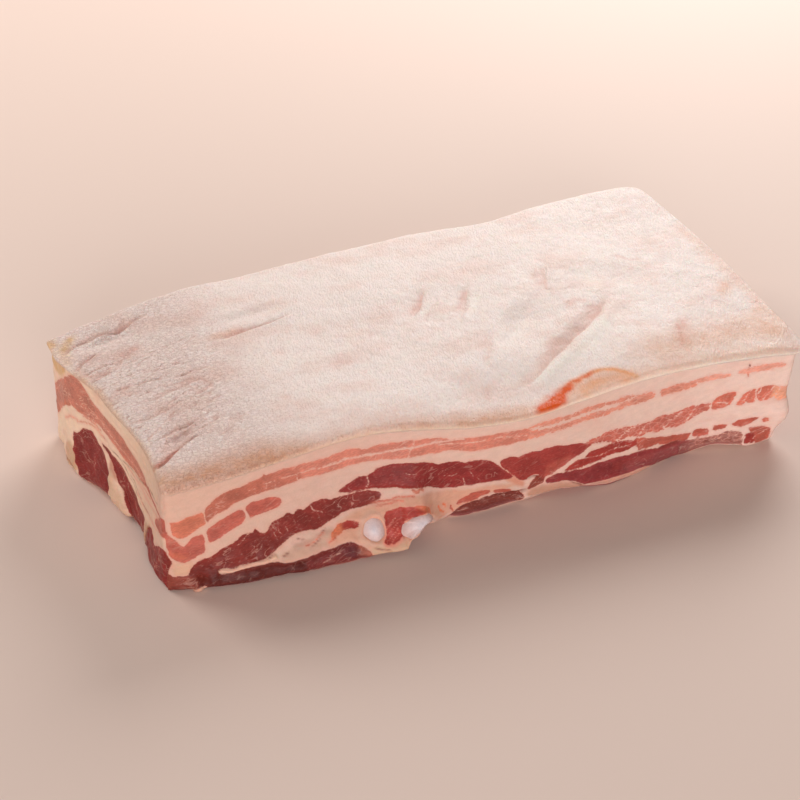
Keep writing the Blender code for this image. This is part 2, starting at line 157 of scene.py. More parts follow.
# Lean in the front cut: kind, upper edge and lower edge as (x, z)
FRONT_LEAN = (
    ("salmon", ((-175.5, 41.5), (-172, 41.2), (-168, 42), (-162, 43), (-156.6, 44)),
     ((-175, 35), (-172, 32), (-170, 31), (-167, 31.5), (-164, 33.5), (-160, 35.3), (-156.6, 37))),
    ("pale_left", ((-155.8, 44.5), (-154, 46.5), (-152, 48), (-150, 49.8), (-147, 50.6), (-143, 51.5),
                   (-138, 52), (-130, 52.8), (-123, 53.6), (-121.5, 55.2), (-120, 54), (-112, 54.6),
                   (-100, 54.2)),
     ((-155.8, 37.2), (-153, 39), (-150, 40.8), (-147, 41.5), (-143, 43), (-140, 44.2), (-135, 45),
      (-125, 45.5), (-117, 45.5), (-100, 46.7))),
    ("pale", ((-124, 53.4), (-112, 54.6), (-90, 54), (-80, 54.5), (-71, 55.3), (-62, 53),
              (-58, 54.2), (-50, 54.5), (-34, 54.4), (-25, 53.6), (-19, 53), (-18, 51),
              (-10, 51.4), (0, 51.3), (16, 51), (28, 50.3)),
     ((-124, 45.5), (-117, 45.5), (-110, 46.7), (-100, 46.7), (-85, 46), (-75, 46.7), (-65, 47),
      (-55, 46.6), (-45, 45.6), (-37, 45.8), (-24, 44.7), (-17, 45.2), (-7, 42.9), (0, 43),
      (16, 43), (28, 43.8))),
    ("mottled", ((27, 49), (35, 48), (40, 47.4), (50, 46.8), (62, 48.2), (67, 48.6), (74, 47.8),
                 (80, 48.4), (88, 49.4), (91, 48.6)),
     ((27, 43.5), (40, 43.6), (50, 43.8), (62, 45), (70, 44.8), (80, 45.2), (91, 45.8))),
    ("mottled", ((27, 51), (35, 52.4), (43, 52.6), (50, 51.5), (57, 52.2), (62, 53), (72, 53.3),
                 (79, 52.2), (88, 53), (94, 52)),
     ((27, 49.8), (35, 49.8), (43, 49.2), (50, 49), (57, 49.8), (66, 50), (76, 50.8), (84, 50.2),
      (94, 50.4))),
    ("mottled", ((91, 49.8), (98, 51), (106, 50.6)), ((91, 46), (98, 45.9), (106, 46.4))),
    ("mottled", ((110, 50.6), (118, 51.3), (126, 50.8), (133, 50.4)),
     ((110, 46.4), (118, 46), (126, 46.6), (133, 47.2))),
    ("faint", ((132, 51), (140, 52.4), (150, 52.4), (153, 51)), ((132, 49), (145, 49.2), (153, 49.4))),
    ("faint", ((158, 52.8), (166, 53.2), (176, 53.6), (187, 53)),
     ((158, 50.2), (166, 50), (176, 50), (187, 50.4))),
    ("stripe", ((-178, 35), (-176, 34), (-174, 31.5), (-172, 29), (-170.5, 27), (-169, 25.8),
                (-167, 28), (-165, 29.5), (-163, 30.5), (-160, 31.2), (-158.3, 31)),
     ((-178, 30), (-177, 24), (-175.5, 20), (-173, 18), (-170, 17), (-165, 17.8), (-163, 19),
      (-160, 20.5), (-158.3, 21.5))),
    ("stripe", ((-190, 44.6), (-182, 43), (-179, 40), (-177.2, 35.4)),
     ((-190, 33), (-182, 31), (-177.6, 29))),
    ("rust", ((-176.4, 25), (-173, 23), (-168, 20.6)), ((-175, 20), (-170, 17.8), (-166, 18.6))),
    ("stripe", ((-156, 33.3), (-150, 35.5), (-145, 37.5), (-141, 39.3), (-137, 39.9), (-135.2, 39)),
     ((-156.2, 25.4), (-150, 27.3), (-145, 29.5), (-140, 31), (-135.5, 33.5))),
    ("stripe", ((-134, 40.5), (-131, 41.5), (-125, 41.8), (-120, 41.3), (-116, 40.5), (-113.5, 39.5)),
     ((-133, 33.8), (-128, 34.3), (-120, 35), (-115, 36.2), (-113.2, 38))),
    ("wine_left", ((-167, 12), (-165, 14), (-163, 15.8), (-160, 16.5), (-157, 17), (-153, 19),
                   (-150, 20.8), (-147, 21.8), (-143, 23), (-140, 24.3), (-137, 26), (-135, 26.5),
                   (-132, 25.8), (-130.5, 27.7), (-128, 24.8), (-124, 24), (-122, 26), (-120, 28.5),
                   (-116, 29.3), (-113, 30), (-111, 31), (-108, 29.5), (-105, 31.5), (-102.5, 30.5),
                   (-99, 32), (-96, 33), (-93, 33.3), (-87, 32), (-80, 31.8), (-70, 32.8),
                   (-65, 32.5), (-60, 31), (-58, 30)),
     ((-169, 0), (-154, 6), (-153, 10.4), (-144, 10), (-133, 10.6), (-127, 11.7), (-122, 13.8),
      (-114, 18), (-109, 20.3), (-104, 20.5), (-98, 19.3), (-92, 21), (-86, 22.5), (-82, 24.3),
      (-75, 25), (-70, 25.3), (-65, 26), (-60, 27.5))),
    # Muscle low at the left (the next three patches): its darkness is partly painted shade
    ("dark_in_shade", ((-168, 12), (-163, 14), (-156, 12), (-152, 8)), ((-168, 2), (-152, 2))),
    ("dark_in_shade", ((-178, 4), (-165, 5), (-155, 7), (-150, 7), (-143, 7.7), (-133, 8.3), (-122, 8.3),
              (-118, 7), (-113, 6.5), (-108, 7), (-104, 7.4)),
     ((-178, -3), (-150, -3), (-104, -3))),
    ("dusk_in_shade", ((-106, 7.3), (-100, 8), (-90, 9), (-83, 10), (-79, 9.6), (-76, 8), (-72, 6),
              (-70, 3.5)),
     ((-106, -3), (-90, -3), (-72, -3))),
    ("purple", ((-85, 8.6), (-81, 9.4), (-77.5, 8)), ((-84, 3), (-80, 2), (-77.5, 3))),
    ("flap", ((-76.5, 8), (-73, 6.6), (-70.5, 4.6)), ((-77, 3), (-74, 2.2), (-71, 1.8))),
    ("wine_left", ((-192, 30), (-180.8, 28), (-178.6, 24), (-175.8, 18), (-177, 14.6), (-178.4, 11.5)),
     ((-192, 8), (-180, 8.4), (-178, 9.6))),
    ("umber", ((-192, 10), (-178, 10.2), (-175.6, 7.8), (-171, 8.8), (-166, 9.8), (-162, 8)),
     ((-192, -4), (-175, -4), (-162, -4))),
    ("rust", ((-90, 15.5), (-85, 18.5), (-82, 19.4)), ((-90, 13), (-87, 13.5), (-82, 15.8))),
    ("blood", ((-84, 18.6), (-80, 20.2), (-76, 20), (-74, 18.8)), ((-83, 15.8), (-76, 16.2), (-73, 17))),
    ("crimson", ((-58.5, 21.5), (-50, 22), (-45, 22.6), (-41, 22.6), (-38, 21.3)),
     ((-60, 11), (-62.5, 8), (-60, 6.5), (-56, 6.8), (-53.5, 8.5), (-51, 11), (-49.5, 14),
      (-50, 16.2), (-46, 17.5), (-42, 18.8), (-38.5, 19))),
    ("rust", ((-43, 22.9), (-40, 23), (-37, 21.6), (-34.5, 18.8), (-32.6, 15)),
     ((-41, 20), (-37.6, 19.4), (-35, 16.6), (-33, 13.8))),
    ("wine", ((-81.5, 34.8), (-78, 36), (-75, 37.6), (-71, 39.7), (-66, 39.8), (-61, 40.6),
              (-58, 42.4), (-50, 43.1), (-45, 43), (-35, 41.6), (-30, 40.5), (-26, 39.2),
              (-24.5, 38.1), (-20, 37.7), (-10, 36.3), (-9, 35.8), (-7.5, 36.7), (0, 36), (5, 34),
              (9, 30), (12, 26.6), (16, 23.5), (19.3, 21)),
     ((-80, 33.8), (-75, 33.6), (-65, 33.8), (-58, 32.8), (-50, 31.8), (-45, 31.2), (-34, 29.3),
      (-30, 27), (-25, 24.3), (-20, 21.7), (-15, 21), (0, 21), (10, 20.2), (18.5, 19.7))),
    ("blood", ((-72, 35), (-58, 34.8), (-48, 34), (-36, 31.6)), ((-72, 34), (-58, 32.8), (-36, 29.8))),
    ("cherry", ((10.3, 31.5), (11.5, 33), (14, 34), (18, 34), (21, 32.8), (23, 33.4), (26, 34),
                (30, 34), (33, 33), (35, 33.2), (37, 34.2), (42, 34.3), (46, 33.7), (50, 32.8),
                (56, 32.2), (60, 32), (62, 31), (67, 29.6)),
     ((10.8, 30), (12, 27.8), (14, 26), (16, 25), (18.5, 22.5), (20.5, 20), (23, 17.5), (25, 16.3),
      (27, 16), (29, 17.3), (32, 18.3), (34, 18), (35, 16.5), (36.5, 14), (38, 15), (41, 16.4),
      (45, 18), (50, 21), (55, 24), (60, 26), (66, 28.6))),
    ("brick", ((38, 23), (46, 25), (54, 26.4)), ((37, 15), (40, 15.6), (46, 18.6), (54, 23.6))),
    ("blood", ((49.6, 16.8), (55, 21), (60, 22), (62, 22.5), (66, 24.8), (76, 25.3), (80, 26),
               (84, 25.5), (88, 25), (93, 23), (96, 24.4)),
     ((50.5, 16.2), (55, 16.4), (62, 17.3), (70, 17.8), (80, 19), (88, 18), (91, 19.5),
      (94, 20.5), (96, 20))),
    ("brick", ((95, 24.2), (100, 23), (103, 21.5), (110, 19.8), (115, 18.2), (120, 17.4),
               (125, 16), (133, 15)),
     ((95, 20), (97, 16), (100, 15), (105, 15.5), (110, 15), (118, 12.5), (125, 11), (132, 10.5))),
    ("plum", ((39, 13.5), (42, 15), (46, 16), (50, 15.5), (62, 15.8), (75, 16.3), (90, 15.3),
              (100, 15), (105, 14), (110, 12.8), (115, 12), (120, 11.3), (133, 10)),
     ((38, 11.5), (42, 11), (50, 10.5), (55, 10), (58, 8), (62, 5.5), (70, 5.3), (80, 4.6),
      (100, 4.6), (106, 2), (110, 0.5), (133, 0))),
    ("cherry", ((78, 14.4), (90, 13.6), (108, 11.6)), ((78, 8), (90, 7), (106, 6))),
    ("haze", ((84, 12), (100, 12.6), (115, 11), (134, 9.8)), ((84, 5), (100, 5), (110, 1), (134, 0))),
    # Set back under the overhanging lower edge: its dark colour is partly painted shade
    ("shaded_recess", ((-19.6, 1.6), (-15, 5), (-10, 8.4), (-5, 10), (6, 11), (15, 10.5), (24, 9), (26, 6)),
     ((-19, -4), (0, -4), (14, -4), (26, 3))),
    # the lowest part of the set-back lean, darker still as painted shade
    ("dusk_in_shade", ((-12, 2), (0, 3.4), (12, 3), (20, 2)), ((-12, -3), (20, -3))),
    ("umber", ((28.6, 12.6), (32, 15.6), (35, 17.4), (38, 17)), ((28, 8.6), (32, 9.4), (37.4, 12.6))),
    ("brick", ((-13, 11.5), (-10, 13), (-6, 15), (-3, 16), (2, 16), (6, 14.8)),
     ((-14, 9.5), (-8, 10.5), (-4, 11.2), (0, 12), (5, 12.2))),
    ("brick", ((7.8, 14.8), (12, 14.6), (16, 13), (18.4, 11.6)), ((8, 11.8), (13, 11.3), (18, 10.6))),
    # The underside of a flap: its colour is partly painted shade
    ("mauve_in_shade", ((125, 10), (133, 9.6), (140, 10.5), (147, 12), (155, 13.8), (160, 12.5), (163, 11)),
     ((125, -4), (145, -4), (163, -4))),
    ("blood", ((164, 10.4), (168, 10.6), (171.6, 9.4)), ((164, 3.6), (168, 3), (171, 4))),
    ("brick", ((166, 14), (171, 13.4), (175, 12.8), (180.5, 11)), ((171, 2), (175, 1), (180.5, 1))),
    ("rosy", ((63, 31.2), (70, 32.4), (76, 33.8), (85, 34), (93, 32.6), (101, 32.4), (112, 33.4),
              (118, 32.6), (124, 32.8), (130, 34), (138, 33.4), (142.4, 33.6)),
     ((63, 29.8), (72, 29.2), (79, 25.8), (87, 26.6), (94, 26), (98, 23.8), (104, 26), (110, 22.8),
      (117, 24), (122, 22.4), (128, 23.2), (136, 27.6), (142.4, 29.6))),
    ("blood", ((66, 30.4), (74, 29.6), (80, 27.2)), ((68, 29.4), (74, 28.2), (79, 26))),
    ("chunk", ((143.4, 34), (146, 36), (149, 38), (153, 39), (158.6, 38.3)),
     ((143.5, 29), (150, 29.5), (154, 30.5), (156, 33), (157.5, 36))),
    ("chunk", ((158, 30), (159.5, 32.5), (162, 35.5), (164, 37.8), (166.5, 38.8), (169.5, 38.4)),
     ((162, 29.5), (163, 31.5), (165, 30), (168, 30), (169.5, 31.5))),
    ("chunk", ((170.4, 38.6), (175, 39), (181, 38.6)), ((170.6, 31), (174, 30), (181, 31))),
    ("glow", ((179, 38.6), (184, 37.6), (192, 35)), ((178, 31), (183, 29.4), (192, 28))),
    ("brick", ((134, 15.6), (138, 16.5), (142.5, 15.6)), ((134, 12.4), (138, 11.6), (142.5, 12.6))),
    ("brick", ((145, 17.6), (149, 18.6), (153, 18)), ((145, 14.6), (150, 14.8), (153, 16))),
    ("brick", ((155.8, 18.4), (161, 20.3), (165, 20), (170, 19.8), (172.6, 19)),
     ((157, 17), (160, 16.3), (163, 15.6), (171, 17.5))),
    ("chunk", ((175.5, 18), (179, 17.8)), ((175.7, 15.6), (179, 15.6))),
)

# Lean in the left end cut, as (y, z)
LEFT_LEAN = (
    ("pale", ((-50, 43.5), (-40, 45.5), (-30, 46), (-25, 47.5), (-20, 49), (-10, 51.3), (0, 50.3),
              (15, 49.7), (20, 50.5), (25, 52), (30, 54.5), (36, 57), (43, 56.6), (50, 52.4),
              (60, 45.4), (70, 37.4), (80, 30), (92, 20)),
     ((-52, 38.9), (-45, 38), (-32, 37.2), (-20, 36.4), (-10, 40), (0, 41.2), (15, 40.6), (28, 38),
      (45, 38), (50, 36.5), (55, 31.5), (65, 24), (75, 16), (92, 6))),
    ("stripe", ((-91, 44.2), (-80, 42), (-70, 41.4), (-50, 42)),
     ((-91, 42.8), (-80, 40.6), (-70, 40.2), (-50, 39.4))),
    ("stripe", ((-94, 44.6), (-87, 43.4), (-80, 38.6), (-72, 33)), ((-94, 33), (-84, 31), (-72, 30.6))),
    ("wine", ((-96, 20), (-88, 25), (-82, 22.5), (-74, 17.6), (-67, 23), (-60, 21), (-55, 14),
              (-50, 4)), ((-96, -4), (-75, -4), (-49, -4))),
    ("wine", ((-46, 17), (-38, 17.2), (-32, 21), (-25, 24), (-18, 29.5), (-10, 32), (0, 33.3),
              (8, 32.4)),
     ((-45, -4), (-26, -4), (-20, 8), (-14.6, 17), (-8, 25), (-2, 30.2), (4, 31.6))),
    ("wine", ((-5, 14), (-2, 20), (0, 24), (5, 29), (13, 30.5), (20, 33.3), (28, 31), (33, 24.6),
              (38, 23)),
     ((-5, 4), (5, -2), (16, -2), (26, 2), (30, 9), (35, 17))),
    ("salmon", ((44, 38), (52, 36.5), (60, 29), (72, 20)), ((44, 36.6), (52, 33), (60, 26), (72, 15))),
    ("faint", ((10, 39.2), (20, 39.2), (30, 38.6)), ((10, 38.2), (20, 38), (30, 37.2))),
)

# The two cuts that face away: layers as kind, middle height and thickness along the cut
RIGHT_LAYERS = (
    ("faint", 51.0, 3.4, 1.2), ("glow", 36.0, 8.0, 2.4), ("mottled", 20.5, 5.0, 1.6),
    ("brick", 8.0, 8.5, 2.0),
)
BACK_LAYERS = (
    ("pale", 50.0, 5.5, 2.6), ("mottled", 41.5, 3.0, 2.2), ("stripe", 32.5, 5.0, 3.0),
    # the lowest layer's colour is partly painted shade
    ("wine", 18.5, 11.0, 3.6), ("dusk_in_shade", 4.0, 5.5, 3.0),
)

# Streaky lean on the underside: kind, length and width of the streaks, how much, and seed
UNDER_STREAKS = (("haze", 80, 20, 0.4, 31), ("rosy", 46, 9, -1.0, 37), ("stripe", 60, 12, -1.6, 43))
RIGHT_END_SWELL = 5.0              # a swell low in the right end, and its place as (y, z)
RIGHT_END_PLACE = (-88, 18, 30, 15)

# Pale seams of fat that cross lean in the front cut: width and course
FRONT_SEAMS = (
    (0.4, ((-175.6, 42.4), (-177.4, 38.4), (-178.8, 34.6))),
    (2.0, ((-165.4, 0.4), (-163, 1.4), (-160.6, 1.0))),
    (0.3, ((-131.6, 48.7), (-128, 48.5))), (0.3, ((-124, 49.6), (-117, 49.3))),
    (0.35, ((-112, 49.6), (-100, 49.7), (-85, 49.8))),
    (0.7, ((-88, 49.7), (-75, 50.2), (-60, 50), (-45, 50.4), (-30, 50.6), (-19, 51), (-10, 51.2))),
    (0.25, ((-121.6, 45), (-120.8, 49.6))), (0.25, ((-116.6, 45), (-115.8, 50))),
    (0.3, ((-103.8, 46.4), (-103.2, 50))), (0.4, ((-36.6, 55), (-38.6, 50), (-40.6, 46))),
    (0.4, ((-24, 49.4), (-8, 47.8), (8, 48.4), (26, 46.6))),
    (0.2, ((-148, 31), (-142, 33.4), (-136, 35.4))),
    (0.4, ((-65, 41), (-64, 36.6), (-65.5, 34))),
    (0.35, ((-134, 26.2), (-137, 23), (-141, 21.2))),
    (0.35, ((-98.4, 31.4), (-96.5, 29), (-94, 28), (-91.5, 26.4))),
    (0.25, ((-120.4, 28), (-119, 25), (-120, 22), (-118.6, 18.8))),
    (0.25, ((-116.6, 27.6), (-117.4, 24), (-115.4, 21))), (0.25, ((-112.4, 24.8), (-111.8, 22))),
    (0.25, ((-98, 3), (-91, 4.8), (-84, 6.5))),
    (0.3, ((-75, 27), (-72, 27.2))), (0.25, ((-44, 38), (-41, 36.4), (-38, 36.8))),
    (0.25, ((-22, 30), (-17, 28.4), (-13, 29))), (0.3, ((-6, 30), (-4.6, 26))),
    (0.35, ((-9.6, 26), (-9, 23), (-9.8, 20))), (0.25, ((-2, 25.4), (0, 23))),
    (0.5, ((146.6, 33.2), (150, 32.6), (153, 31.6))),
    (0.5, ((60, 17), (75, 16.9), (92, 16.2), (110, 14.6))),
    (0.35, ((161, 31), (165, 35.6), (168, 39.4))), (0.3, ((168, 30.4), (171, 35), (174, 39.6))),
    (0.35, ((174, 30), (177, 34), (181, 39))), (0.35, ((180, 29.4), (184, 34), (187, 38))),
    (0.4, ((128, 23.6), (132, 29), (134.6, 34.4))), (0.35, ((112, 23), (118, 28.4), (126, 31.6))),
    (0.3, ((96, 24), (100, 28), (105, 32.6))), (0.3, ((82, 27), (88, 30.4), (96, 32))),
    (0.3, ((166, 3), (172, 8), (180, 10.4))), (0.3, ((60, 22), (68, 20.4), (80, 22), (92, 21.4))),
)
STRIPES = tuple((0.32, ((-59.4 - 0.6 * n, 6.8 + 1.9 * n), (-51.6 - 0.6 * n, 12.2 + 1.9 * n)))
                for n in range(4))

# Thin red lines and streaks in the fat: kind, width and course
FRONT_STREAKS = (
    ("vein", 0.3, ((-65, 26), (-58, 26.4), (-48, 26.8), (-42, 27))),
    ("vein", 0.25, ((-62, 24), (-54, 24.6), (-48, 25))),
    ("rust", 0.45, ((-25.4, 13.4), (-24, 10.6), (-22, 8))),
    ("rust", 0.4, ((-22, 13), (-20.6, 10.4))),
    ("brick", 0.5, ((-17.8, 9.6), (-17, 7.4), (-16, 5.6))),
    ("vein", 0.25, ((-104, 13), (-99, 14.4), (-94, 17.4))),
    ("vein", 0.25, ((-92, 12), (-87, 13.4))),
    ("purple", 0.5, ((36.5, 17), (37, 13.5))),
    ("purple", 0.3, ((33.5, 33), (34, 27), (35, 20))),
    ("flap", 0.4, ((-42, 29.6), (-40, 28), (-38.6, 29.6), (-36.4, 28.6))),
    ("spot", 0.55, ((164.2, 55.0), (164.4, 54.4))),
    ("trace", 0.35, ((164.1, 53.8), (163.7, 51), (163, 48))),
)

# Clefts: width, depth (mm) and course. Each is a groove, and its colour is darkened there as painted
# shade.
FRONT_CLEFTS = (
    (0.35, 0.5, ((-118, 10.5), (-114, 12))), (0.35, 0.5, ((-123.6, 12.2), (-126, 10.6))),
    (0.4, 0.6, ((-101, 12.3), (-96, 14.5))), (0.4, 0.5, ((-108, 17.5), (-104.5, 16.5))),
    (0.4, 0.5, ((-95, 17.5), (-92, 18.8))), (1.8, 3.0, ((-162.4, 7.4), (-159.4, 5.2))),
    (0.45, 1.0, ((-153, 7), (-140, 7.4), (-132, 8), (-126, 7.8), (-115, 6.2), (-106, 6.6), (-96, 7.8),
                 (-86, 9.2))),
    (0.4, 0.5, ((-68, 6), (-60, 4))), (0.5, 1.0, ((-52, 8.6), (-50.4, 11), (-49.4, 14.6))),
    (0.5, 0.8, ((-33, 12.6), (-31.4, 9))), (0.7, 1.4, ((112, 12.3), (120, 11.3), (127, 10.6))),
    (0.4, 0.8, ((53, 9.5), (58, 7), (61, 4), (64, 1.5))),
    (0.6, 1.2, ((28, 16.3), (33, 17.2), (36.4, 13.8))), (1.1, 2.0, ((15, 8.6), (21, 8), (27.6, 8.6))),
    (1.3, 1.8, ((141.4, 6.8), (142.8, 6.2))), (0.9, 1.4, ((148.4, 4.6), (149.8, 4.4))),
    (0.9, 1.2, ((154.4, 7.2), (155.8, 6.8))), (0.5, 0.6, ((-178.2, 35.4), (-178.6, 34.6))),
)

# Fat that differs from the plain white: colour, how far it stands out, upper and lower edge
FRONT_FAT = (
    ((202, 160, 140), 0.5, ((-120, 11), (-112, 14), (-104, 15.4), (-96, 17), (-88, 18.6)),
     ((-118, 7), (-104, 7.8), (-94, 9.4), (-86, 11))),
    ((222, 178, 154), 2.2, ((-153, 10.2), (-148, 9.4), (-140, 9.8), (-133, 10.5), (-127, 11.5),
                            (-122, 13.5)),
     ((-153, 8.2), (-150, 7.3), (-145, 7.6), (-139, 8), (-133, 8.5), (-126, 8.6), (-120, 9))),
    ((200, 154, 130), 2.4, ((-166.5, 3.2), (-163, 4.4), (-160.4, 3.4)), ((-166.5, -2), (-160, -2))),
    ((220, 176, 154), 1.6, ((-157, 4), (-155.6, 4.4), (-154, 4)), ((-157, 2.4), (-154, 2.4))),
    ((214, 168, 142), 0.8, ((-176, 18), (-172, 17), (-165, 17)), ((-175, 9), (-172, 9.4), (-166, 10))),
    ((212, 158, 134), 0.4, ((-92, 13), (-84, 20), (-74, 24), (-64, 25), (-50, 27), (-38, 27),
                            (-30, 24), (-20, 20), (-8, 19), (10, 18), (22, 15)),
     ((-92, 10), (-80, 11), (-70, 5), (-60, 2), (-48, 3), (-40, 14), (-32, 12), (-24, 3), (-14, 6),
      (2, 13), (14, 13))),
    ((210, 164, 142), 0.4, ((-76, 12), (-73, 20), (-66, 23), (-60, 20)), ((-74, 8), (-66, 5), (-60, 6))),
    ((208, 166, 138), 0.6, ((-74, 4), (-66, 7), (-58, 5.6), (-48.6, 6)), ((-72, 1), (-60, 1), (-48.6, 1))),
    ((222, 130, 112), 0.0, ((-63, 12), (-58, 17), (-52, 16)), ((-63, 6), (-57, 5.6), (-51, 9))),
    ((208, 144, 120), 0.2, ((14, 25), (20, 22), (26, 15)), ((14, 20), (20, 15), (25, 11))),
    # The next two patches, fat at the foot of the cut under the plum lean, are darkened as painted shade
    ((192, 142, 120), 0.5, ((28, 8), (38, 11), (50, 10), (57, 8.5), (62, 5)),
     ((28, 4), (40, 4.5), (50, 5), (56, 4), (62, 1))),
    ((206, 150, 130), -0.2, ((66, 5), (90, 5), (106, 4)), ((66, 0), (90, -1), (106, 0))),
    ((226, 160, 136), -1.8, ((-72, 15), (-70, 18.6), (-66, 20), (-62, 19), (-60, 15)),
     ((-72, 12), (-69.6, 9), (-66, 8.4), (-62.6, 9.4), (-60.4, 12))),
    ((226, 160, 136), -2.6, ((-52, 11), (-49, 16.4), (-44, 18.6), (-40, 19), (-36.6, 18), (-33, 14),
                             (-30.6, 10)),
     ((-50, 8), (-46, 9.6), (-42, 11.6), (-38, 13), (-35, 10), (-32, 8))),
)

# The same four for the left end, as (y, z)
LEFT_FAT = (
    ((208, 150, 126), -0.2, ((-14, 25), (-9, 28.6), (-3, 29)), ((-14, 20), (-8, 18.6), (-3, 20))),
    ((216, 178, 150), 1.8, ((-18, 9), (-11, 14.4), (-4, 23)), ((-23, 0), (-15, 2), (-6, 9), (-3, 16))),
    ((214, 172, 140), 0.8, ((28, 13), (36, 17), (46, 14)), ((28, 3), (36, 2), (46, 2))),
    ((206, 160, 130), 0.4, ((-62, 22), (-54, 18), (-47, 16)), ((-56, 6), (-50, -2), (-46, -2))),
    ((222, 178, 132), 0.0, ((52, 64), (64, 66), (90, 66)), ((52, 52), (66, 44), (90, 48))),
)
# Clefts in the left end: grooves darkened as painted shade, as in the front
LEFT_CLEFTS = (
    (0.9, 1.6, ((-15, 16.6), (-22, 9), (-25, 0))), (0.6, 1.0, ((-60, 21.8), (-53, 11), (-48, 1))),
    (0.35, 0.4, ((-80, 45), (-60, 43.6), (-42, 36.8), (-20, 34.6), (0, 35.4))),
    (0.4, 0.5, ((-60, 27), (-46, 24), (-36, 27), (-26, 31))), (0.5, 0.8, ((30, 3), (38, 5), (46, 3))),
    (0.4, 0.5, ((-44, 19), (-36, 22.6), (-28, 27.6), (-16, 33))),
)
LEFT_SEAMS = (
    (0.3, ((-40, 40), (-20, 41), (-4, 44), (12, 44.6), (28, 43), (40, 41))),
    (0.25, ((-84, 40), (-78, 36), (-72, 31))), (0.3, ((-82, 22), (-80, 12), (-74, 2))),
    (0.25, ((-38, 14), (-30, 20), (-20, 27), (-10, 31))), (0.25, ((-36, 6), (-28, 14), (-22, 22))),
    (0.2, ((10, 28), (14, 20), (12, 12))), (0.25, ((62, 40), (72, 32), (84, 22))),
)
LEFT_STREAKS = (
    ("blush", 0.2, ((-86, 38), (-70, 36.4), (-55, 33.4), (-38, 32.6), (-22, 33.6))),
    ("blush", 0.2, ((-78, 29), (-66, 28), (-52, 25.4), (-42, 24), (-34, 25.4))),
    ("blush", 0.25, ((-62, 38.4), (-50, 36.4), (-38, 35))),
    ("blush", 0.3, ((4, 37), (16, 37.4), (26, 35.6), (34, 32))),
    ("blush", 0.3, ((34, 33), (42, 31), (50, 26))),
)
# Plain fat in the left end, by y
LEFT_FAT_TINTS = ((-95, (220, 180, 160)), (-60, (232, 194, 168)), (0, (244, 208, 182)),
                  (60, (246, 212, 186)))

# ------------------------------------------------------------------ what the skin shows
# Folds: half width, how deep the upper left side sinks, how high the lower right lip stands, course
SKIN_FOLDS = (
    (1.8, 1.7, 0.7, ((-177, -69), (-170, -66.5), (-165, -62), (-160, -57.5), (-155, -54),
                     (-150, -51), (-145, -48))),
    (5.0, 1.0, 1.2, ((36, -68), (45, -64), (52, -59), (60, -52), (70, -46), (80, -38), (90, -32),
                     (100, -23), (107, -16), (113, -10), (121, -2))),
    (2.0, 1.1, 0.5, ((-177, 66), (-165, 73), (-160, 74), (-153, 72), (-148, 74), (-143, 77),
                     (-138, 80), (-131, 81))),
    (1.8, 0.8, 0.3, ((-106, 36.5), (-97, 37), (-90, 39), (-83, 40), (-70, 42), (-56, 46))),
    (1.5, 1.0, 0.6, ((-186, 40), (-180, 48), (-175, 51), (-170, 55))),
    (1.3, 0.7, 0.3, ((-184, 34), (-172, 40), (-163, 40.5))),
    (1.3, 0.7, 0.3, ((-185, 24), (-173, 29), (-166, 33))),
    (1.6, 0.9, 0.4, ((-188, 59), (-180, 67), (-170, 71))),
    (1.6, 0.7, 0.2, ((-164, -44), (-156, -40), (-150, -38), (-139, -34.5))),
    (1.6, 0.5, 0.1, ((-172, -24), (-160, -22), (-150, -17), (-140, -13), (-130, -10), (-122, -5))),
    (1.5, 0.5, 0.1, ((-178, 8), (-165, 12), (-150, 12), (-135, 9), (-122, 11))),
    (1.5, 0.5, 0.1, ((-172, -6), (-158, -7), (-146, -3), (-132, 2))),
    (1.5, 0.5, 0.1, ((-170, 22), (-155, 22), (-140, 20), (-126, 24))),
    (1.8, 0.5, 0.4, ((4, 15), (8, 20), (13, 26), (17, 33), (21, 40))),
    (2.2, 0.4, 0.6, ((27, 0), (31, 8), (37, 16), (42, 26), (48, 38))),
    (7.0, 0.4, 0.5, ((84, 2), (90, 18), (97, 36), (104, 50), (116, 60))),
    (2.0, 0.4, 0.6, ((-182, 42), (-181, 14), (-179, -18), (-176.4, -50), (-174, -72))),
    (4.0, 0.4, 0.4, ((22, -48), (30, -34), (38, -20), (46, -8))),
)

# Fine wrinkles in the skin's left part: size, depth (mm) and seed
WRINKLES = ((3.6, 0.55, 7), (2.0, 0.35, 15))
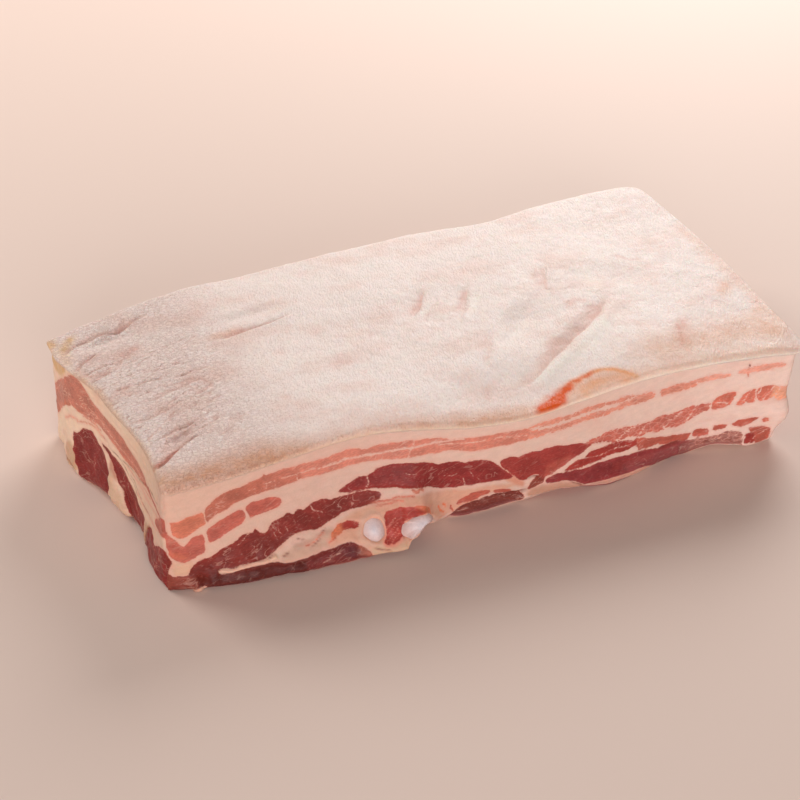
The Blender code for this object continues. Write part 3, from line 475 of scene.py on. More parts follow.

# Marks on the skin: kind, half width, strength, course. The crease marks are painted shade along the folds
# and the sheen marks painted highlights.
SKIN_MARKS = (
    ("sore", 1.5, 0.95, ((-175, -66), (-168, -62.6), (-161, -57), (-156, -54))),
    ("crease_shade", 0.7, 0.9, ((-175, -67.5), (-165, -61.6), (-155, -53.6), (-146, -48.2))),
    ("rosy", 5.0, 0.35, ((-168, -56), (-156, -46), (-148, -38))),
    ("rosy", 2.6, 0.45, ((-152, 73), (-149, 77), (-147, 82))),
    ("crease_shade", 0.6, 0.5, ((-165, 73), (-153, 71.6), (-144, 76.4), (-134, 80.6))),
    ("rosy", 3.6, 0.5, ((-160, 47), (-154, 49), (-148, 51))),
    ("rosy", 3.0, 0.5, ((-101, 38.4), (-96, 39.5), (-88, 41))),
    ("crease_shade", 0.6, 0.4, ((-102, 36.6), (-96, 37), (-86, 39.4), (-74, 41), (-60, 45))),
    ("peach", 3.4, 0.4, ((-108, 40), (-101, 41), (-92, 42.5))),
    ("crease_shade", 0.6, 0.45, ((-184, 42), (-180, 48), (-175, 51), (-171, 55))),
    ("crease_shade", 0.6, 0.3, ((-182, 35), (-172, 40), (-163, 40.5))),
    ("crease_shade", 0.6, 0.3, ((-183, 25), (-173, 29), (-166, 33))),
    ("crease_shade", 0.6, 0.3, ((-186, 62), (-180, 67), (-171, 71))),
    ("rosy", 3.2, 0.35, ((-180, 49), (-172, 54))),
    ("rosy", 3.0, 0.35, ((6, 22), (12, 29), (18, 36))),
    ("rosy", 2.4, 0.3, ((33, 16), (38, 24), (45, 34))),
    ("crease_shade", 0.8, 0.35, ((46, -62), (60, -51), (72, -43.4), (84, -34), (95, -26))),
    ("sore", 1.3, 0.4, ((97, -22.6), (102, -19), (107, -14))),
    ("rosy", 3.4, 0.35, ((92, -4), (97, -1), (104, -3))),
    ("rosy", 4.6, 0.5, ((133, -68), (136, -60), (141, -49), (147, -43))),
    ("sore", 1.0, 0.28, ((132, -68), (135, -61), (138, -54), (140, -46))),
    ("peach", 15.0, 0.55, ((108, -70), (140, -66), (170, -64), (196, -60))),
    ("peach", 4.5, 0.6, ((183, -23), (187, -17), (190, -12))),
    ("peach", 4.0, 0.5, ((190, -49), (194, -44))),
    ("peach", 9.0, 0.5, ((186, -74), (196, -66))),
    ("rosy", 1.8, 0.3, ((144, 40), (149, 32), (156, 30))),
    ("rosy", 3.0, 0.25, ((-56, -18), (-46, -12))),
    ("rosy", 2.4, 0.25, ((12, -72), (16, -62))),
    ("peach", 5.5, 0.75, ((56, -85), (70, -81), (84, -81), (92, -85))),
    ("tan", 12.0, 0.9, ((-180, -84), (-160, -83), (-130, -81), (-108, -80))),
    ("tan", 10.0, 0.7, ((-118, -82), (-90, -84), (-60, -85), (-20, -86))),
    ("tan", 8.0, 0.8, ((-16, -87), (5, -88), (30, -90))),
    # painted highlights on the lips of the folds
    ("painted_sheen", 6.5, 0.9, ((44, -66), (62, -57.6), (75, -52), (90, -42), (104, -28))),
    ("painted_sheen", 5.0, 0.6, ((112, 2), (118, 20), (122, 38))),
    ("painted_sheen", 2.6, 0.7, ((38, 10), (44, 18), (50, 27))),
    ("painted_sheen", 2.2, 0.6, ((11, 17), (16, 23), (20, 29))),
    ("glaze", 7.0, 0.8, ((30, -91), (60, -88), (96, -85), (130, -84), (165, -85), (198, -89))),
    ("honey", 4.6, 0.6, ((-187, 40), (-186, 10), (-184, -20), (-180, -50), (-178, -80))),
    ("honey", 2.4, 0.5, ((-181, 20), (-180, 0), (-178, -24), (-175.5, -46), (-176, -60))),
    ("honey", 4.0, 0.9, ((-197, 62), (-195, 70), (-190, 76))),
    ("honey", 2.6, 0.8, ((-187, 64), (-184, 70), (-178, 77))),
    ("honey", 4.0, 0.4, ((-190, 48), (-188, 58), (-186, 66))),
    ("peach", 5.0, 0.35, ((198, -60), (199, -20), (199, 20), (198, 60))),
    ("amber", 4.5, 0.5, ((60, -86), (74, -81), (86, -82), (92, -86))),
    ("amber", 2.2, 0.9, ((50, -80), (60, -76.4), (72, -73.4), (80, -73.2), (88, -76), (95, -84))),
    ("stain", 4.6, 1.6, ((34.5, -93), (39, -90.5), (44, -87), (48, -84))),
    ("stain", 3.0, 1.2, ((44, -88), (51, -82), (57, -77.6))),
    ("stain", 1.6, 0.7, ((54, -79), (60, -76.4), (67, -74.6), (74, -73.2))),
)
# Of these tints, sheen is a painted highlight and crease is painted shade
MARK_TINTS = {"rosy": (222, 158, 142), "sore": (196, 78, 56), "crease_shade": (168, 112, 96),
              "peach": (236, 176, 140), "stain": (234, 88, 0), "amber": (242, 158, 96),
              "painted_sheen": (255, 240, 230), "tan": (220, 158, 122), "honey": (238, 192, 136),
              "glaze": (252, 210, 188)}
SKIN_TINT = (251, 231, 223)
HOLLOW_SHADE_TINT = (222, 160, 140)      # painted shade in the folds' depths
EDGE_TINTS = ((-180, (222, 176, 150)), (0, (240, 204, 178)), (90, (252, 222, 202)),
              (200, (255, 232, 216)))

# ------------------------------------------------------------------ what the cartilages are
# Each end: the line down its middle as (x, z, half width) before its tips are rounded
RIB_ENDS = {
    "rib_end_1": ((-72.4, 14.0, 6.2), (-66.4, 14.2, 6.3), (-60.9, 14.8, 7.0)),
    "rib_end_2": ((-51.8, 10.0, 4.6), (-49.3, 11.4, 4.6), (-46, 13.1, 4.1), (-43, 14.7, 3.4),
                  (-40, 15.9, 3.0), (-37.4, 15.4, 2.8), (-35, 13.4, 2.5), (-32.6, 11, 2.2),
                  (-30.4, 8.6, 1.6)),
}
RIB_SIDES = 96
RIB_STEPS = (0.06, 0.12, 0.3, 1.0)   # rows of its wall, as shares of its depth
RIB_DEPTH = 9.0
RIB_STAND = 1.4                    # how far it stands out of the cut
SEARCH_STEPS = 30                  # tries at finding a place on the front cut


# ------------------------------------------------------------------ curves and forms
def linear(*colour):
    """A colour given as seen on a screen, 0 to 255, as the linear one that shaders take."""
    value = np.array(colour, float) / 255
    return np.where(value <= 0.04045, value / 12.92, ((value + 0.055) / 1.055) ** 2.4)


def ease(value, low, high):
    """Rises smoothly from 0 at low to 1 at high."""
    t = np.clip((value - low) / (high - low), 0, 1)
    return t * t * (3 - 2 * t)


def through(points, at):
    """A smooth curve through (place, value) points, level beyond its ends."""
    places, values = np.array(points, float).T
    slopes = np.gradient(values, places)
    at = np.clip(at, places[0], places[-1])
    cell = np.clip(np.searchsorted(places, at) - 1, 0, len(places) - 2)
    span = places[cell + 1] - places[cell]
    t = (at - places[cell]) / span
    start = values[cell] * (1 + 2 * t) * (1 - t) ** 2 + slopes[cell] * span * t * (1 - t) ** 2
    end = values[cell + 1] * t**2 * (3 - 2 * t) - slopes[cell + 1] * span * t**2 * (1 - t)
    return start + end


def turned(x, y, degrees):
    """Coordinates along and across a direction."""
    angle = np.radians(degrees)
    return (x * np.cos(angle) + y * np.sin(angle), y * np.cos(angle) - x * np.sin(angle))


def hill(x, y, centre_x, centre_y, half_length, half_width, turn=0.0):
    """A smooth hill of height 1 over an ellipse, turned about its middle."""
    along, across = turned(x - centre_x, y - centre_y, turn)
    reach = np.clip(np.hypot(along / half_length, across / half_width), 0, 1)
    return 0.5 + 0.5 * np.cos(np.pi * reach)


def soften(first, second, radius):
    """Rounds a square edge: both are depths from the edge's two faces."""
    a = np.clip(radius - first, 0, None)
    b = np.clip(radius - second, 0, None)
    half = 2 * radius**2
    return (first + a * (1 - np.sqrt(np.clip(1 - b**2 / half, 0, 1))),
            second + b * (1 - np.sqrt(np.clip(1 - a**2 / half, 0, 1))))


def skin_height(x, y):
    inward = np.clip(1 - ((x - MIDDLE_X) / HALF_LENGTH) ** 4, 0, 1)
    inward = inward * np.clip(1 - ((y - MIDDLE_Y) / HALF_WIDTH) ** 4, 0, 1)
    height = EDGE_HEIGHT + CROWN * inward
    for *place, rise in SWELLS:
        height = height + rise * hill(x, y, *place)
    return height


def base_height(x, y):
    from_front = np.clip((y - FRONT_ARCH_Y) / FRONT_ARCH_REACH, -1, 1)
    height = through(FRONT_ARCH, x) * (0.5 + 0.5 * np.cos(np.pi * from_front))
    for *place, rise in ARCHES:
        height = np.maximum(height, rise * hill(x, y, *place))
    return height


def form(u, v, w):
    """Places points of the unit block (u, v from -1 to 1, w from 0 to 1) on the real one."""
    end = np.sign(u)
    side = np.sign(v)
    from_end = HALF_LENGTH * (1 - np.abs(u))
    from_side = HALF_WIDTH * (1 - np.abs(v))
    for (at_end, at_side), radius in CORNERS.items():
        here = (end == at_end) & (side == at_side)
        rounded = soften(from_end, from_side, radius)
        from_end = np.where(here, rounded[0], from_end)
        from_side = np.where(here, rounded[1], from_side)
    under = EDGE_HEIGHT * (1 - w)
    above = EDGE_HEIGHT * w
    from_end, under = soften(from_end, under, TOP_EDGE)
    from_end, above = soften(from_end, above, BASE_EDGE)
    back = side > 0
    rounded = soften(from_side, under, BACK_EDGE)
    crisp = soften(from_side, under, TOP_EDGE)
    from_side = np.where(back, rounded[0], crisp[0])
    under = np.where(back, rounded[1], crisp[1])
    from_side, above = soften(from_side, above, BASE_EDGE)
    rise = np.where(w > 0.5, 1 - under / EDGE_HEIGHT, above / EDGE_HEIGHT)

    x = MIDDLE_X + end * (HALF_LENGTH - from_end)
    y = MIDDLE_Y + side * (HALF_WIDTH - from_side)
    to_right = (x - MIDDLE_X) / (2 * HALF_LENGTH) + 0.5
    to_back = (y - MIDDLE_Y) / (2 * HALF_WIDTH) + 0.5
    foot = (1 - rise) ** FOOT_SHAPE
    lip = np.clip((1 - rise) * EDGE_HEIGHT / LIP_DEPTH, 0, 1)
    left = through(LEFT_LINE, y) + foot * through(LEFT_FOOT, y) - lip * through(LEFT_LIP, y)
    right = through(RIGHT_LINE, y) + foot * through(RIGHT_FOOT, y) - lip * through(RIGHT_LIP, y)
    front = through(FRONT_EDGE, x) + foot * through(FRONT_FOOT, x)
    rear = through(BACK_LINE, x) + foot * through(BACK_FOOT, x)
    real_x = x - left * (1 - to_right) + right * to_right
    real_y = y - front * (1 - to_back) + rear * to_back
    low = base_height(real_x, real_y)
    high = skin_height(real_x, real_y)
    return real_x, real_y, low + (high - low) * rise


# ------------------------------------------------------------------ noise
NOISE_TABLE = np.random.default_rng(11).uniform(-1, 1, 4096)


def noise(x, y, seed=0):
    """Smooth noise from -1 to 1 that changes over about one unit."""
    x, y = np.broadcast_arrays(x, y)
    cell_x, cell_y = np.floor(x).astype(np.int64), np.floor(y).astype(np.int64)
    part_x, part_y = ease(x - cell_x, 0, 1), ease(y - cell_y, 0, 1)
    total = np.zeros(x.shape)
    for step_x in (0, 1):
        for step_y in (0, 1):
            # the cell's numbers are scrambled into a place in the table
            key = ((cell_x + step_x) * 73856093 ^ (cell_y + step_y) * 19349663
                   ^ (seed * 2654435761 + 97)) & 0xFFFFFFF
            key = (key ^ (key >> 11)) * 2246822519 & 0xFFFFFFF
            weight = (part_x if step_x else 1 - part_x) * (part_y if step_y else 1 - part_y)
            total = total + weight * NOISE_TABLE[(key >> 9) & 4095]
    return total


def layered(x, y, seed=0, octaves=3):
    """Noise with finer and weaker noise on it."""
    return sum(noise(x * 2**octave, y * 2**octave, seed + octave) * 0.5**octave
               for octave in range(octaves))


# ------------------------------------------------------------------ drawn lines and patches
CORNER_SHARES = (0.82, 0.18)


def rounded_line(points, closed=False):
    """Cuts the corners of a drawn line twice, so that it bends as soft tissue does."""
    line = np.array(points, float)
    first, last = line[:1], line[-1:]
    more, less = CORNER_SHARES
    for _ in range(2):
        ahead = np.roll(line, -1, axis=0)
        if not closed:
            line, ahead = line[:-1], ahead[:-1]
        cut = np.stack((more * line + less * ahead, less * line + more * ahead), 1).reshape(-1, 2)
        line = cut if closed else np.concatenate((first, cut, last))
    return line


def near_line(a, b, points, closed=False):
    """Distance to a drawn line, which side of it a place is on, and how far along it lies."""
    line = rounded_line(points, closed)
    if closed:
        line = np.concatenate((line, line[:1]))
    steps = np.hypot(*np.diff(line, axis=0).T)
    reached = np.concatenate(([0.0], np.cumsum(steps))) / max(steps.sum(), 1e-9)
    best = np.full(a.shape, 1e9)
    side = np.ones(a.shape)
    along = np.zeros(a.shape)
    inside = np.zeros(a.shape, bool)
    for number, (start, end) in enumerate(zip(line[:-1], line[1:])):
        way = end - start
        length = max(way @ way, 1e-12)
        t = np.clip(((a - start[0]) * way[0] + (b - start[1]) * way[1]) / length, 0, 1)
        off_a = a - start[0] - t * way[0]
        off_b = b - start[1] - t * way[1]
        away = np.hypot(off_a, off_b)
        closer = away < best
        best = np.where(closer, away, best)
        side = np.where(closer, np.sign(way[0] * off_b - way[1] * off_a), side)
        here = reached[number] + t * (reached[number + 1] - reached[number])
        along = np.where(closer, here, along)
        if closed:
            crosses = (start[1] > b) != (end[1] > b)
            inside ^= crosses & (a < start[0] + way[0] * (b - start[1]) / (way[1] or 1e-9))
    if closed:
        side = np.where(inside, 1.0, -1.0)
    return best, side, along


def nearby(a, b, points, margin):
    """The places within a margin of a drawn line's box."""
    low, high = np.min(points, axis=0) - margin, np.max(points, axis=0) + margin
    return np.flatnonzero((a > low[0]) & (a < high[0]) & (b > low[1]) & (b < high[1]))


def within(a, b, upper, lower):
    """The places near a patch between two edges, and how deep inside it they are."""
    points = tuple(upper) + tuple(reversed(lower))
    index = nearby(a, b, points, PATCH_MARGIN)
    away, side, _ = near_line(a[index], b[index], points, closed=True)
    return index, away * side


def fading(along, steepness, least):
    """1 along most of a line, less towards both of its ends."""
    return np.clip(steepness * np.minimum(along, 1 - along) + least, 0, 1)


def wavered(a, b, seed):
    """Drawn outlines waver a little, as cut tissue does."""
    return (a + 0.8 * noise(a / 6, b / 4, seed=seed) + 0.3 * noise(a / 2, b / 1.6, seed=seed + 1),
            b + 0.45 * noise(a / 5, b / 3, seed=seed + 2)
            + 0.2 * noise(a / 1.8, b / 1.5, seed=seed + 3))


def by_place(at, table):
    """Colours that change along the block, from (place, colour) pairs."""
    places = [place for place, _ in table]
    tints = np.array([linear(*tint) for _, tint in table])
    return np.stack([np.interp(at, places, tints[:, channel]) for channel in range(3)], axis=1)


# ------------------------------------------------------------------ shells in unit space
def new_verts(made):
    """The vertices that an extrusion made."""
    return [item for item in made["geom"] if isinstance(item, bmesh.types.BMVert)]


def square_path(counts):
    """Places round the unit square, seen from above against the clock, from its front left."""
    corners = np.array(((-1, -1), (1, -1), (1, 1), (-1, 1), (-1, -1)), float)
    path = []
    for start, end, count in zip(corners, corners[1:], counts):
        path.extend(start + (end - start) * step / count for step in range(count))
    return np.array(path)


def wall_ring(bm, counts, levels):
    """A closed band of cells round the block, from the lowest level to the highest."""
    columns, rows = sum(counts), len(levels) - 1
    path = square_path(counts)
    bmesh.ops.create_cone(bm, cap_ends=False, segments=columns, radius1=1.0, radius2=1.0,
                          depth=2.0)
    upright = [edge for edge in bm.edges if abs(edge.verts[0].co.z - edge.verts[1].co.z) > 1]
    bmesh.ops.subdivide_edges(bm, edges=upright, cuts=rows - 1, use_grid_fill=True)
    bm.verts.ensure_lookup_table()
    first = math.atan2(bm.verts[0].co.y, bm.verts[0].co.x)
    for vert in bm.verts:
        turn = (math.atan2(vert.co.y, vert.co.x) - first) / (2 * math.pi)
        u, v = path[round(turn * columns) % columns]
        vert.co = (u, v, levels[round((vert.co.z + 1) / 2 * rows)])


def close_with_grid(bm, level, cells, counts):
    """Closes the open rim at one level with a coarser grid, its sides cut to match the rim."""
    rim = [edge for edge in bm.edges if edge.is_boundary
           and all(abs(vert.co.z - level) < CLOSE for vert in edge.verts)]
    for vert in new_verts(bmesh.ops.extrude_edge_only(bm, edges=rim)):
        vert.co = (vert.co.x * (1 - CAP_INSET), vert.co.y * (1 - CAP_INSET), level)
    grid = bmesh.ops.create_grid(bm, x_segments=cells[0], y_segments=cells[1], size=1 - CAP_INSET)
    for vert in grid["verts"]:
        vert.co.z = level
    sides = ([], [], [], [])
    outer = (edge for vert in grid["verts"] for edge in vert.link_edges if edge.is_boundary)
    for edge in dict.fromkeys(outer):
        middle = (edge.verts[0].co + edge.verts[1].co) / 2
        if abs(middle.y) > 1 - 1.01 * CAP_INSET:
            sides[0 if middle.y < 0 else 2].append(edge)
        else:
            sides[1 if middle.x > 0 else 3].append(edge)
    for side, edges in enumerate(sides):
        cuts = counts[side] // cells[side % 2] - 1
        if cuts:
            bmesh.ops.bisect_edges(bm, edges=edges, cuts=cuts)
    open_verts = (vert for edge in bm.edges if edge.is_boundary for vert in edge.verts
                  if abs(vert.co.z - level) < CLOSE)
    bmesh.ops.remove_doubles(bm, verts=list(dict.fromkeys(open_verts)), dist=WELD)


def shell_object(name, bm):
    """Makes an object of a finished bmesh, with its faces pointing outwards."""
    bmesh.ops.recalc_face_normals(bm, faces=bm.faces[:])
    mesh = bpy.data.meshes.new(name)
    bm.to_mesh(mesh)
    bm.free()
    obj = bpy.data.objects.new(name, mesh)
    bpy.context.scene.collection.objects.link(obj)
    mesh.shade_smooth()
    return obj


def read_vectors(mesh, field):
    """The vertices' places ("co") or normals ("normal"), one row for each."""
    values = np.empty(len(mesh.vertices) * 3, np.float32)
    mesh.vertices.foreach_get(field, values)
    return values.reshape(-1, 3).astype(float)


def write_places(mesh, places):
    mesh.vertices.foreach_set("co", places.astype(np.float32).ravel())
    mesh.update()


def set_down(mesh, places):
    """Takes places in the drawing frame's millimetres to the row frame's metres."""
    write_places(mesh, (places - np.array((*CENTRE, 0.0))) * MM)


def shape_shell(mesh):
    """Bends a unit shell to the block's form; gives its unit places, real places and normals."""
    unit = read_vectors(mesh, "co").T
    places = np.stack(form(*unit), 1)
    write_places(mesh, places)
    return unit, places, read_vectors(mesh, "normal")


def keep(mesh, name, values):
    """Stores a number, a colour or a vector for each vertex."""
    kind, field = {1: ("FLOAT", "value"), 3: ("FLOAT_VECTOR", "vector"),
                   4: ("FLOAT_COLOR", "color")}[values.size // len(values)]
    layer = mesh.attributes.new(name, kind, "POINT")
    layer.data.foreach_set(field, values.astype(np.float32).ravel())


def as_colour(tint):
    """Adds the fourth channel that stored colours have."""
    return np.concatenate((tint, np.ones((len(tint), 1))), axis=1)


# ------------------------------------------------------------------ painting the cuts
class Cut:
    """Fields of one face of the meat: where it is lean, its colours, its relief and the painted shade in
    its clefts.
    """

    def __init__(self, a, b, fat):
        count = len(a)
        tint, marble, broken = PLAIN_LEAN
        self.a = a
        self.b = b
        self.fat = fat
        self.lean = np.full(count, LEAN_LEAST)
        self.tint = np.tile(linear(*tint) * PLAIN_WEIGHT, (count, 1))
        self.weight = np.full(count, PLAIN_WEIGHT)
        self.marble = np.full(count, marble * PLAIN_WEIGHT)
        self.broken = np.full(count, broken * PLAIN_WEIGHT)
        self.relief = np.zeros(count)
        self.cleft_shade = np.zeros(count)

    def add_lean(self, index, depth, kind):
        """Mixes in a kind of lean; depth is the distance inside its patch, negative outside."""
        tint, marble, broken, relief = LEAN[kind]
        weight = np.exp(np.clip(depth, -4, 1.5) / 0.6)
        self.lean[index] = np.maximum(self.lean[index], depth)
        self.tint[index] += weight[:, None] * linear(*tint)
        self.weight[index] += weight
        self.marble[index] += weight * marble
        self.broken[index] += weight * broken
        self.relief[index] += relief * ease(depth, -0.5, 1.0 + 0.5 * abs(relief))

    def add_field(self, depth, kind):
        """The same, over the whole face."""
        self.add_lean(np.arange(len(depth)), depth, kind)

    def near(self, points, margin):
        """The places near a drawn line, how far from it and how far along it they are."""
        index = nearby(self.a, self.b, points, margin)
        away, _, along = near_line(self.a[index], self.b[index], points)
        return index, away, along

    def add_patches(self, patches):
        for kind, upper, lower in patches:
            index, depth = within(self.a, self.b, upper, lower)
            self.add_lean(index, depth, kind)

    def add_fat(self, patches):
        for tint, stand, upper, lower in patches:
            index, depth = within(self.a, self.b, upper, lower)
            share = ease(depth, -1.6, 1.4)
            self.fat[index] += share[:, None] * (linear(*tint) - self.fat[index])
            self.relief[index] += stand * ease(depth, -0.6, 1.8)

    def add_seams(self, seams):
        for width, points in seams:
            index, away, _ = self.near(points, LINE_MARGIN)
            self.lean[index] = np.minimum(self.lean[index], away - width)
            self.relief[index] += 0.12 * np.exp(-(away / (width + 0.3)) ** 2)

    def add_streaks(self, streaks):
        for kind, width, points in streaks:
            index, away, _ = self.near(points, LINE_MARGIN)
            self.add_lean(index, width - away, kind)

    def add_clefts(self, clefts):
        for width, depth, points in clefts:
            index, away, along = self.near(points, CLEFT_MARGIN)
            # how strongly each place is darkened as painted shade
            share = np.exp(-(away / width) ** 2) * fading(along, 4, 0.45)
            self.cleft_shade[index] = np.maximum(self.cleft_shade[index], share)
            self.relief[index] -= depth * share

    def add_layers(self, layers, seed):
        """Wavering layers of lean, for the cuts that no drawn outline covers."""
        a, b = self.a, self.b
        for number, (kind, middle, thickness, waver) in enumerate(layers):
            line = middle + waver * layered(a / 70, 0.0, seed=seed + number)
            half = thickness / 2 * (1 + 0.6 * layered(a / 30, 0.0, seed=seed + 20 + number))
            half = half + 0.9 * noise(a / 9, b / 5, seed=seed + 60 + number)
            half = half - thickness * ease(noise(a / 34, number, seed=seed + 40), 0.45, 0.9)
            self.add_field(half - np.abs(b - line), kind)


def draw(cut, patches, fat, seams, streaks, clefts):
    """Lays the drawn tables on a cut, each over the ones before it."""
    cut.add_patches(patches)
    cut.add_fat(fat)
    cut.add_seams(seams)
    cut.add_streaks(streaks)
    cut.add_clefts(clefts)


def paint_cut(side, x, y, z):
    """Each side's cut is painted along (a) and up (b) its own face."""
    fat = by_place(x, FAT_TINTS)
    if side == "front":
        cut = Cut(*wavered(x, z, 1), fat)
        draw(cut, FRONT_LEAN, FRONT_FAT, FRONT_SEAMS + STRIPES, FRONT_STREAKS, FRONT_CLEFTS)
    elif side == "left":
        a, b = wavered(y, z, 5)
        cut = Cut(a, b, by_place(y, LEFT_FAT_TINTS))
        draw(cut, LEFT_LEAN, LEFT_FAT, LEFT_SEAMS, LEFT_STREAKS, LEFT_CLEFTS)
        torn = noise((a + b) / 4.5, (b - 0.4 * a) / 1.6, seed=44)
        cut.relief += 0.35 * torn * ease(-cut.lean, 0, 2)
    elif side == "right":
        cut = Cut(*wavered(y, z, 9), fat)
        cut.add_layers(RIGHT_LAYERS, 60)
    elif side == "back":
        cut = Cut(*wavered(x, z, 13), fat)
        cut.add_layers(BACK_LAYERS, 80)
    else:
        a, b = wavered(x, y, 17)
        cut = Cut(a, b, fat)
        for kind, length, width, shift, seed in UNDER_STREAKS:
            cut.add_field(4 * layered(a / length, b / width, seed=seed, octaves=4) + shift, kind)
    return cut


def build_meat():
    """The meat and fat under the rind, as one closed body."""
    top = 1 - RIND / EDGE_HEIGHT
    bm = bmesh.new()
    wall_ring(bm, WALL_COLUMNS, np.linspace(0, top, WALL_ROWS + 1))
    close_with_grid(bm, 0.0, UNDERSIDE_CELLS, WALL_COLUMNS)
    close_with_grid(bm, top, MEAT_TOP_CELLS, WALL_COLUMNS)
    obj = shell_object("meat", bm)
    mesh = obj.data
    (u, v, w), places, normals = shape_shell(mesh)
    x, y, z = places.T

    sides = {"front": v < -ON_SIDE, "back": v > ON_SIDE}
    sides["left"] = (u < -ON_SIDE) & ~sides["front"] & ~sides["back"]
    sides["right"] = (u > ON_SIDE) & ~sides["front"] & ~sides["back"]
    under = ~np.any(list(sides.values()), axis=0)
    sides["under"] = under
    count = len(x)
    fields = {name: np.zeros(count) for name in ("lean", "marble", "broken", "cleft_shade", "relief")}
    tints = {name: np.zeros((count, 3)) for name in ("lean_tint", "fat_tint")}
    for side, here in sides.items():
        cut = paint_cut(side, x[here], y[here], z[here])
        fields["lean"][here] = np.clip(cut.lean, LEAN_LEAST, -LEAN_LEAST)
        fields["marble"][here] = cut.marble / cut.weight
        fields["broken"][here] = cut.broken / cut.weight
        fields["cleft_shade"][here] = cut.cleft_shade
        fields["relief"][here] = cut.relief
        tints["lean_tint"][here] = cut.tint / cut.weight[:, None]
        tints["fat_tint"][here] = cut.fat

    # the grain runs on from side to side round the block
    round_way = np.select([sides["front"], sides["right"], sides["back"], sides["left"]],
                          [x, 290 + y, 620 - x, -270 - y], x)
    flat = np.where(under, y, z)
    low = ease(30 - z, 0, 16) * ~under
    relief = fields.pop("relief")
    relief += 0.12 * noise(round_way / 3, flat / 1.6, seed=3)
    relief += low * (0.5 * noise(round_way / 12, flat / 7, seed=4)
                     + 0.35 * noise(round_way / 4, flat / 2.5, seed=5))
    relief[under] += 0.5 + 0.8 * layered(x / 16, y / 26, seed=6)[under]
    relief += RIGHT_END_SWELL * hill(y, z, *RIGHT_END_PLACE) * ease(x, 176, 190)
    relief[under & (w > 0.5)] = 0
    places = places + normals * relief[:, None]
    places[:, 2] = np.maximum(places[:, 2], 0)
    set_down(mesh, places)
    for name, values in fields.items():
        keep(mesh, name, values)
    for name, values in tints.items():
        keep(mesh, name, as_colour(values))
    keep(mesh, "grain_way", np.stack((round_way, flat, np.zeros(count)), 1))
    return obj


# ------------------------------------------------------------------ the rind
def skin_relief(x, y):
    """Folds, wrinkles and pebbling of the skin, in millimetres."""
    height = np.zeros(len(x))
    for width, depth, lip, points in SKIN_FOLDS:
        index = nearby(x, y, points, 4 * width)
        away, side, along = near_line(x[index], y[index], points)
        sunk = np.exp(-(away / (np.where(side > 0, 1.8, 0.35) * width)) ** 2)
        raised = np.where(side < 0, np.exp(-((away - width) / width) ** 2), 0)
        height[index] += fading(along, 5, 0.15) * (lip * raised - depth * sunk)
    along, across = turned(x, y, 20)
    wrinkled = (ease(x, -196, -176) * ease(-x, 96, 128) * ease(y, -62, -40) * ease(-y, -62, -38))
    for size, depth, seed in WRINKLES:
        lines = 1 - np.abs(noise(along / (5 * size), across / size, seed=seed))
        height -= depth * wrinkled * ease(lines, 0.78, 1.0)
    along, across = turned(x, y, 62)
    crinkled = hill(x, y, 24, 24, 34, 26) + 0.7 * hill(x, y, 96, 22, 30, 30)
    lines = 1 - np.abs(noise(along / 9, across / 3.4, seed=18))
    height -= 0.4 * crinkled * ease(lines, 0.7, 1.0)
    along, across = turned(x, y, 72)
    streaks = noise(along / 4.5, across / 1.9, seed=8)
    pebbles = noise(x / 2.4, y / 2.4, seed=9)
    height += 0.05 * streaks + 0.05 * pebbles + 0.28 * layered(x / 13, y / 11, seed=10)
    return height


def paint_skin(x, y, edge):
    """The skin's colour, by marks on it and by how near its cut edge is."""
    tint = np.tile(linear(*SKIN_TINT), (len(x), 1))
    spread = 0.5 + 0.5 * layered(x / 3.2, y / 3.2, seed=12)
    for kind, width, strength, points in SKIN_MARKS:
        index = nearby(x, y, points, 3 * width)
        bent_x, bent_y = wavered(x[index], y[index], 21)
        away, _, along = near_line(bent_x, bent_y, points)
        patchy = 1.0 if kind == "stain" else 0.4
        share = strength * np.exp(-(away / width) ** 2) * (1 + patchy * (spread[index] - 0.5))
        share = np.clip(share * fading(along, 6, 0.5), 0, 1)
        tint[index] += share[:, None] * (linear(*MARK_TINTS[kind]) - tint[index])
    return tint + edge[:, None] * (by_place(x, EDGE_TINTS) - tint)


def build_rind():
    """The skin: a fine sheet on top, its cut edges, and a coarse underside on the fat."""
    bm = bmesh.new()
    bmesh.ops.create_grid(bm, x_segments=RIND_CELLS[0], y_segments=RIND_CELLS[1], size=1.0)
    for vert in bm.verts:
        vert.co.z = 1.0
    bottom = 1 - RIND / EDGE_HEIGHT
    for level in np.linspace(1, bottom, RIND_EDGE_ROWS + 1)[1:]:
        rim = [edge for edge in bm.edges if edge.is_boundary]
        for vert in new_verts(bmesh.ops.extrude_edge_only(bm, edges=rim)):
            vert.co.z = level
    close_with_grid(bm, bottom, RIND_UNDERSIDE_CELLS, RIND_CELLS * 2)
    obj = shell_object("rind", bm)
    mesh = obj.data
    (u, v, w), places, normals = shape_shell(mesh)
    x, y, _ = places.T
    on_top = w > ON_SIDE
    to_edge = np.minimum(HALF_LENGTH * (1 - np.abs(u)), HALF_WIDTH * (1 - np.abs(v)))
    relief = np.where(on_top, skin_relief(x, y) * ease(to_edge, 0.2, 3), 0)
    set_down(mesh, places + normals * relief[:, None])
    edge = np.clip((1 - w) / (1 - bottom), 0, 1) * 0.8 + 0.2 * ease(-to_edge, -1.6, 0)
    tint = paint_skin(x, y, edge)
    # painted shade: the skin's low places are tinted darker and warmer
    hollow_shade = ease(-relief, 0.1, 0.9) * on_top * (1 - edge)
    tint += 0.45 * hollow_shade[:, None] * (linear(*HOLLOW_SHADE_TINT) - tint)
    dotted = 0.35 + 0.5 * ease(-x, 20, 150) + 0.6 * ease(-y, 70, 84) * ease(-x, -60, 0)
    keep(mesh, "skin_tint", as_colour(tint))
    keep(mesh, "wrinkled", ease(-x, 70, 130))
    keep(mesh, "dotted", dotted * (1 - edge))
    keep(mesh, "grain_way", places)
    return obj


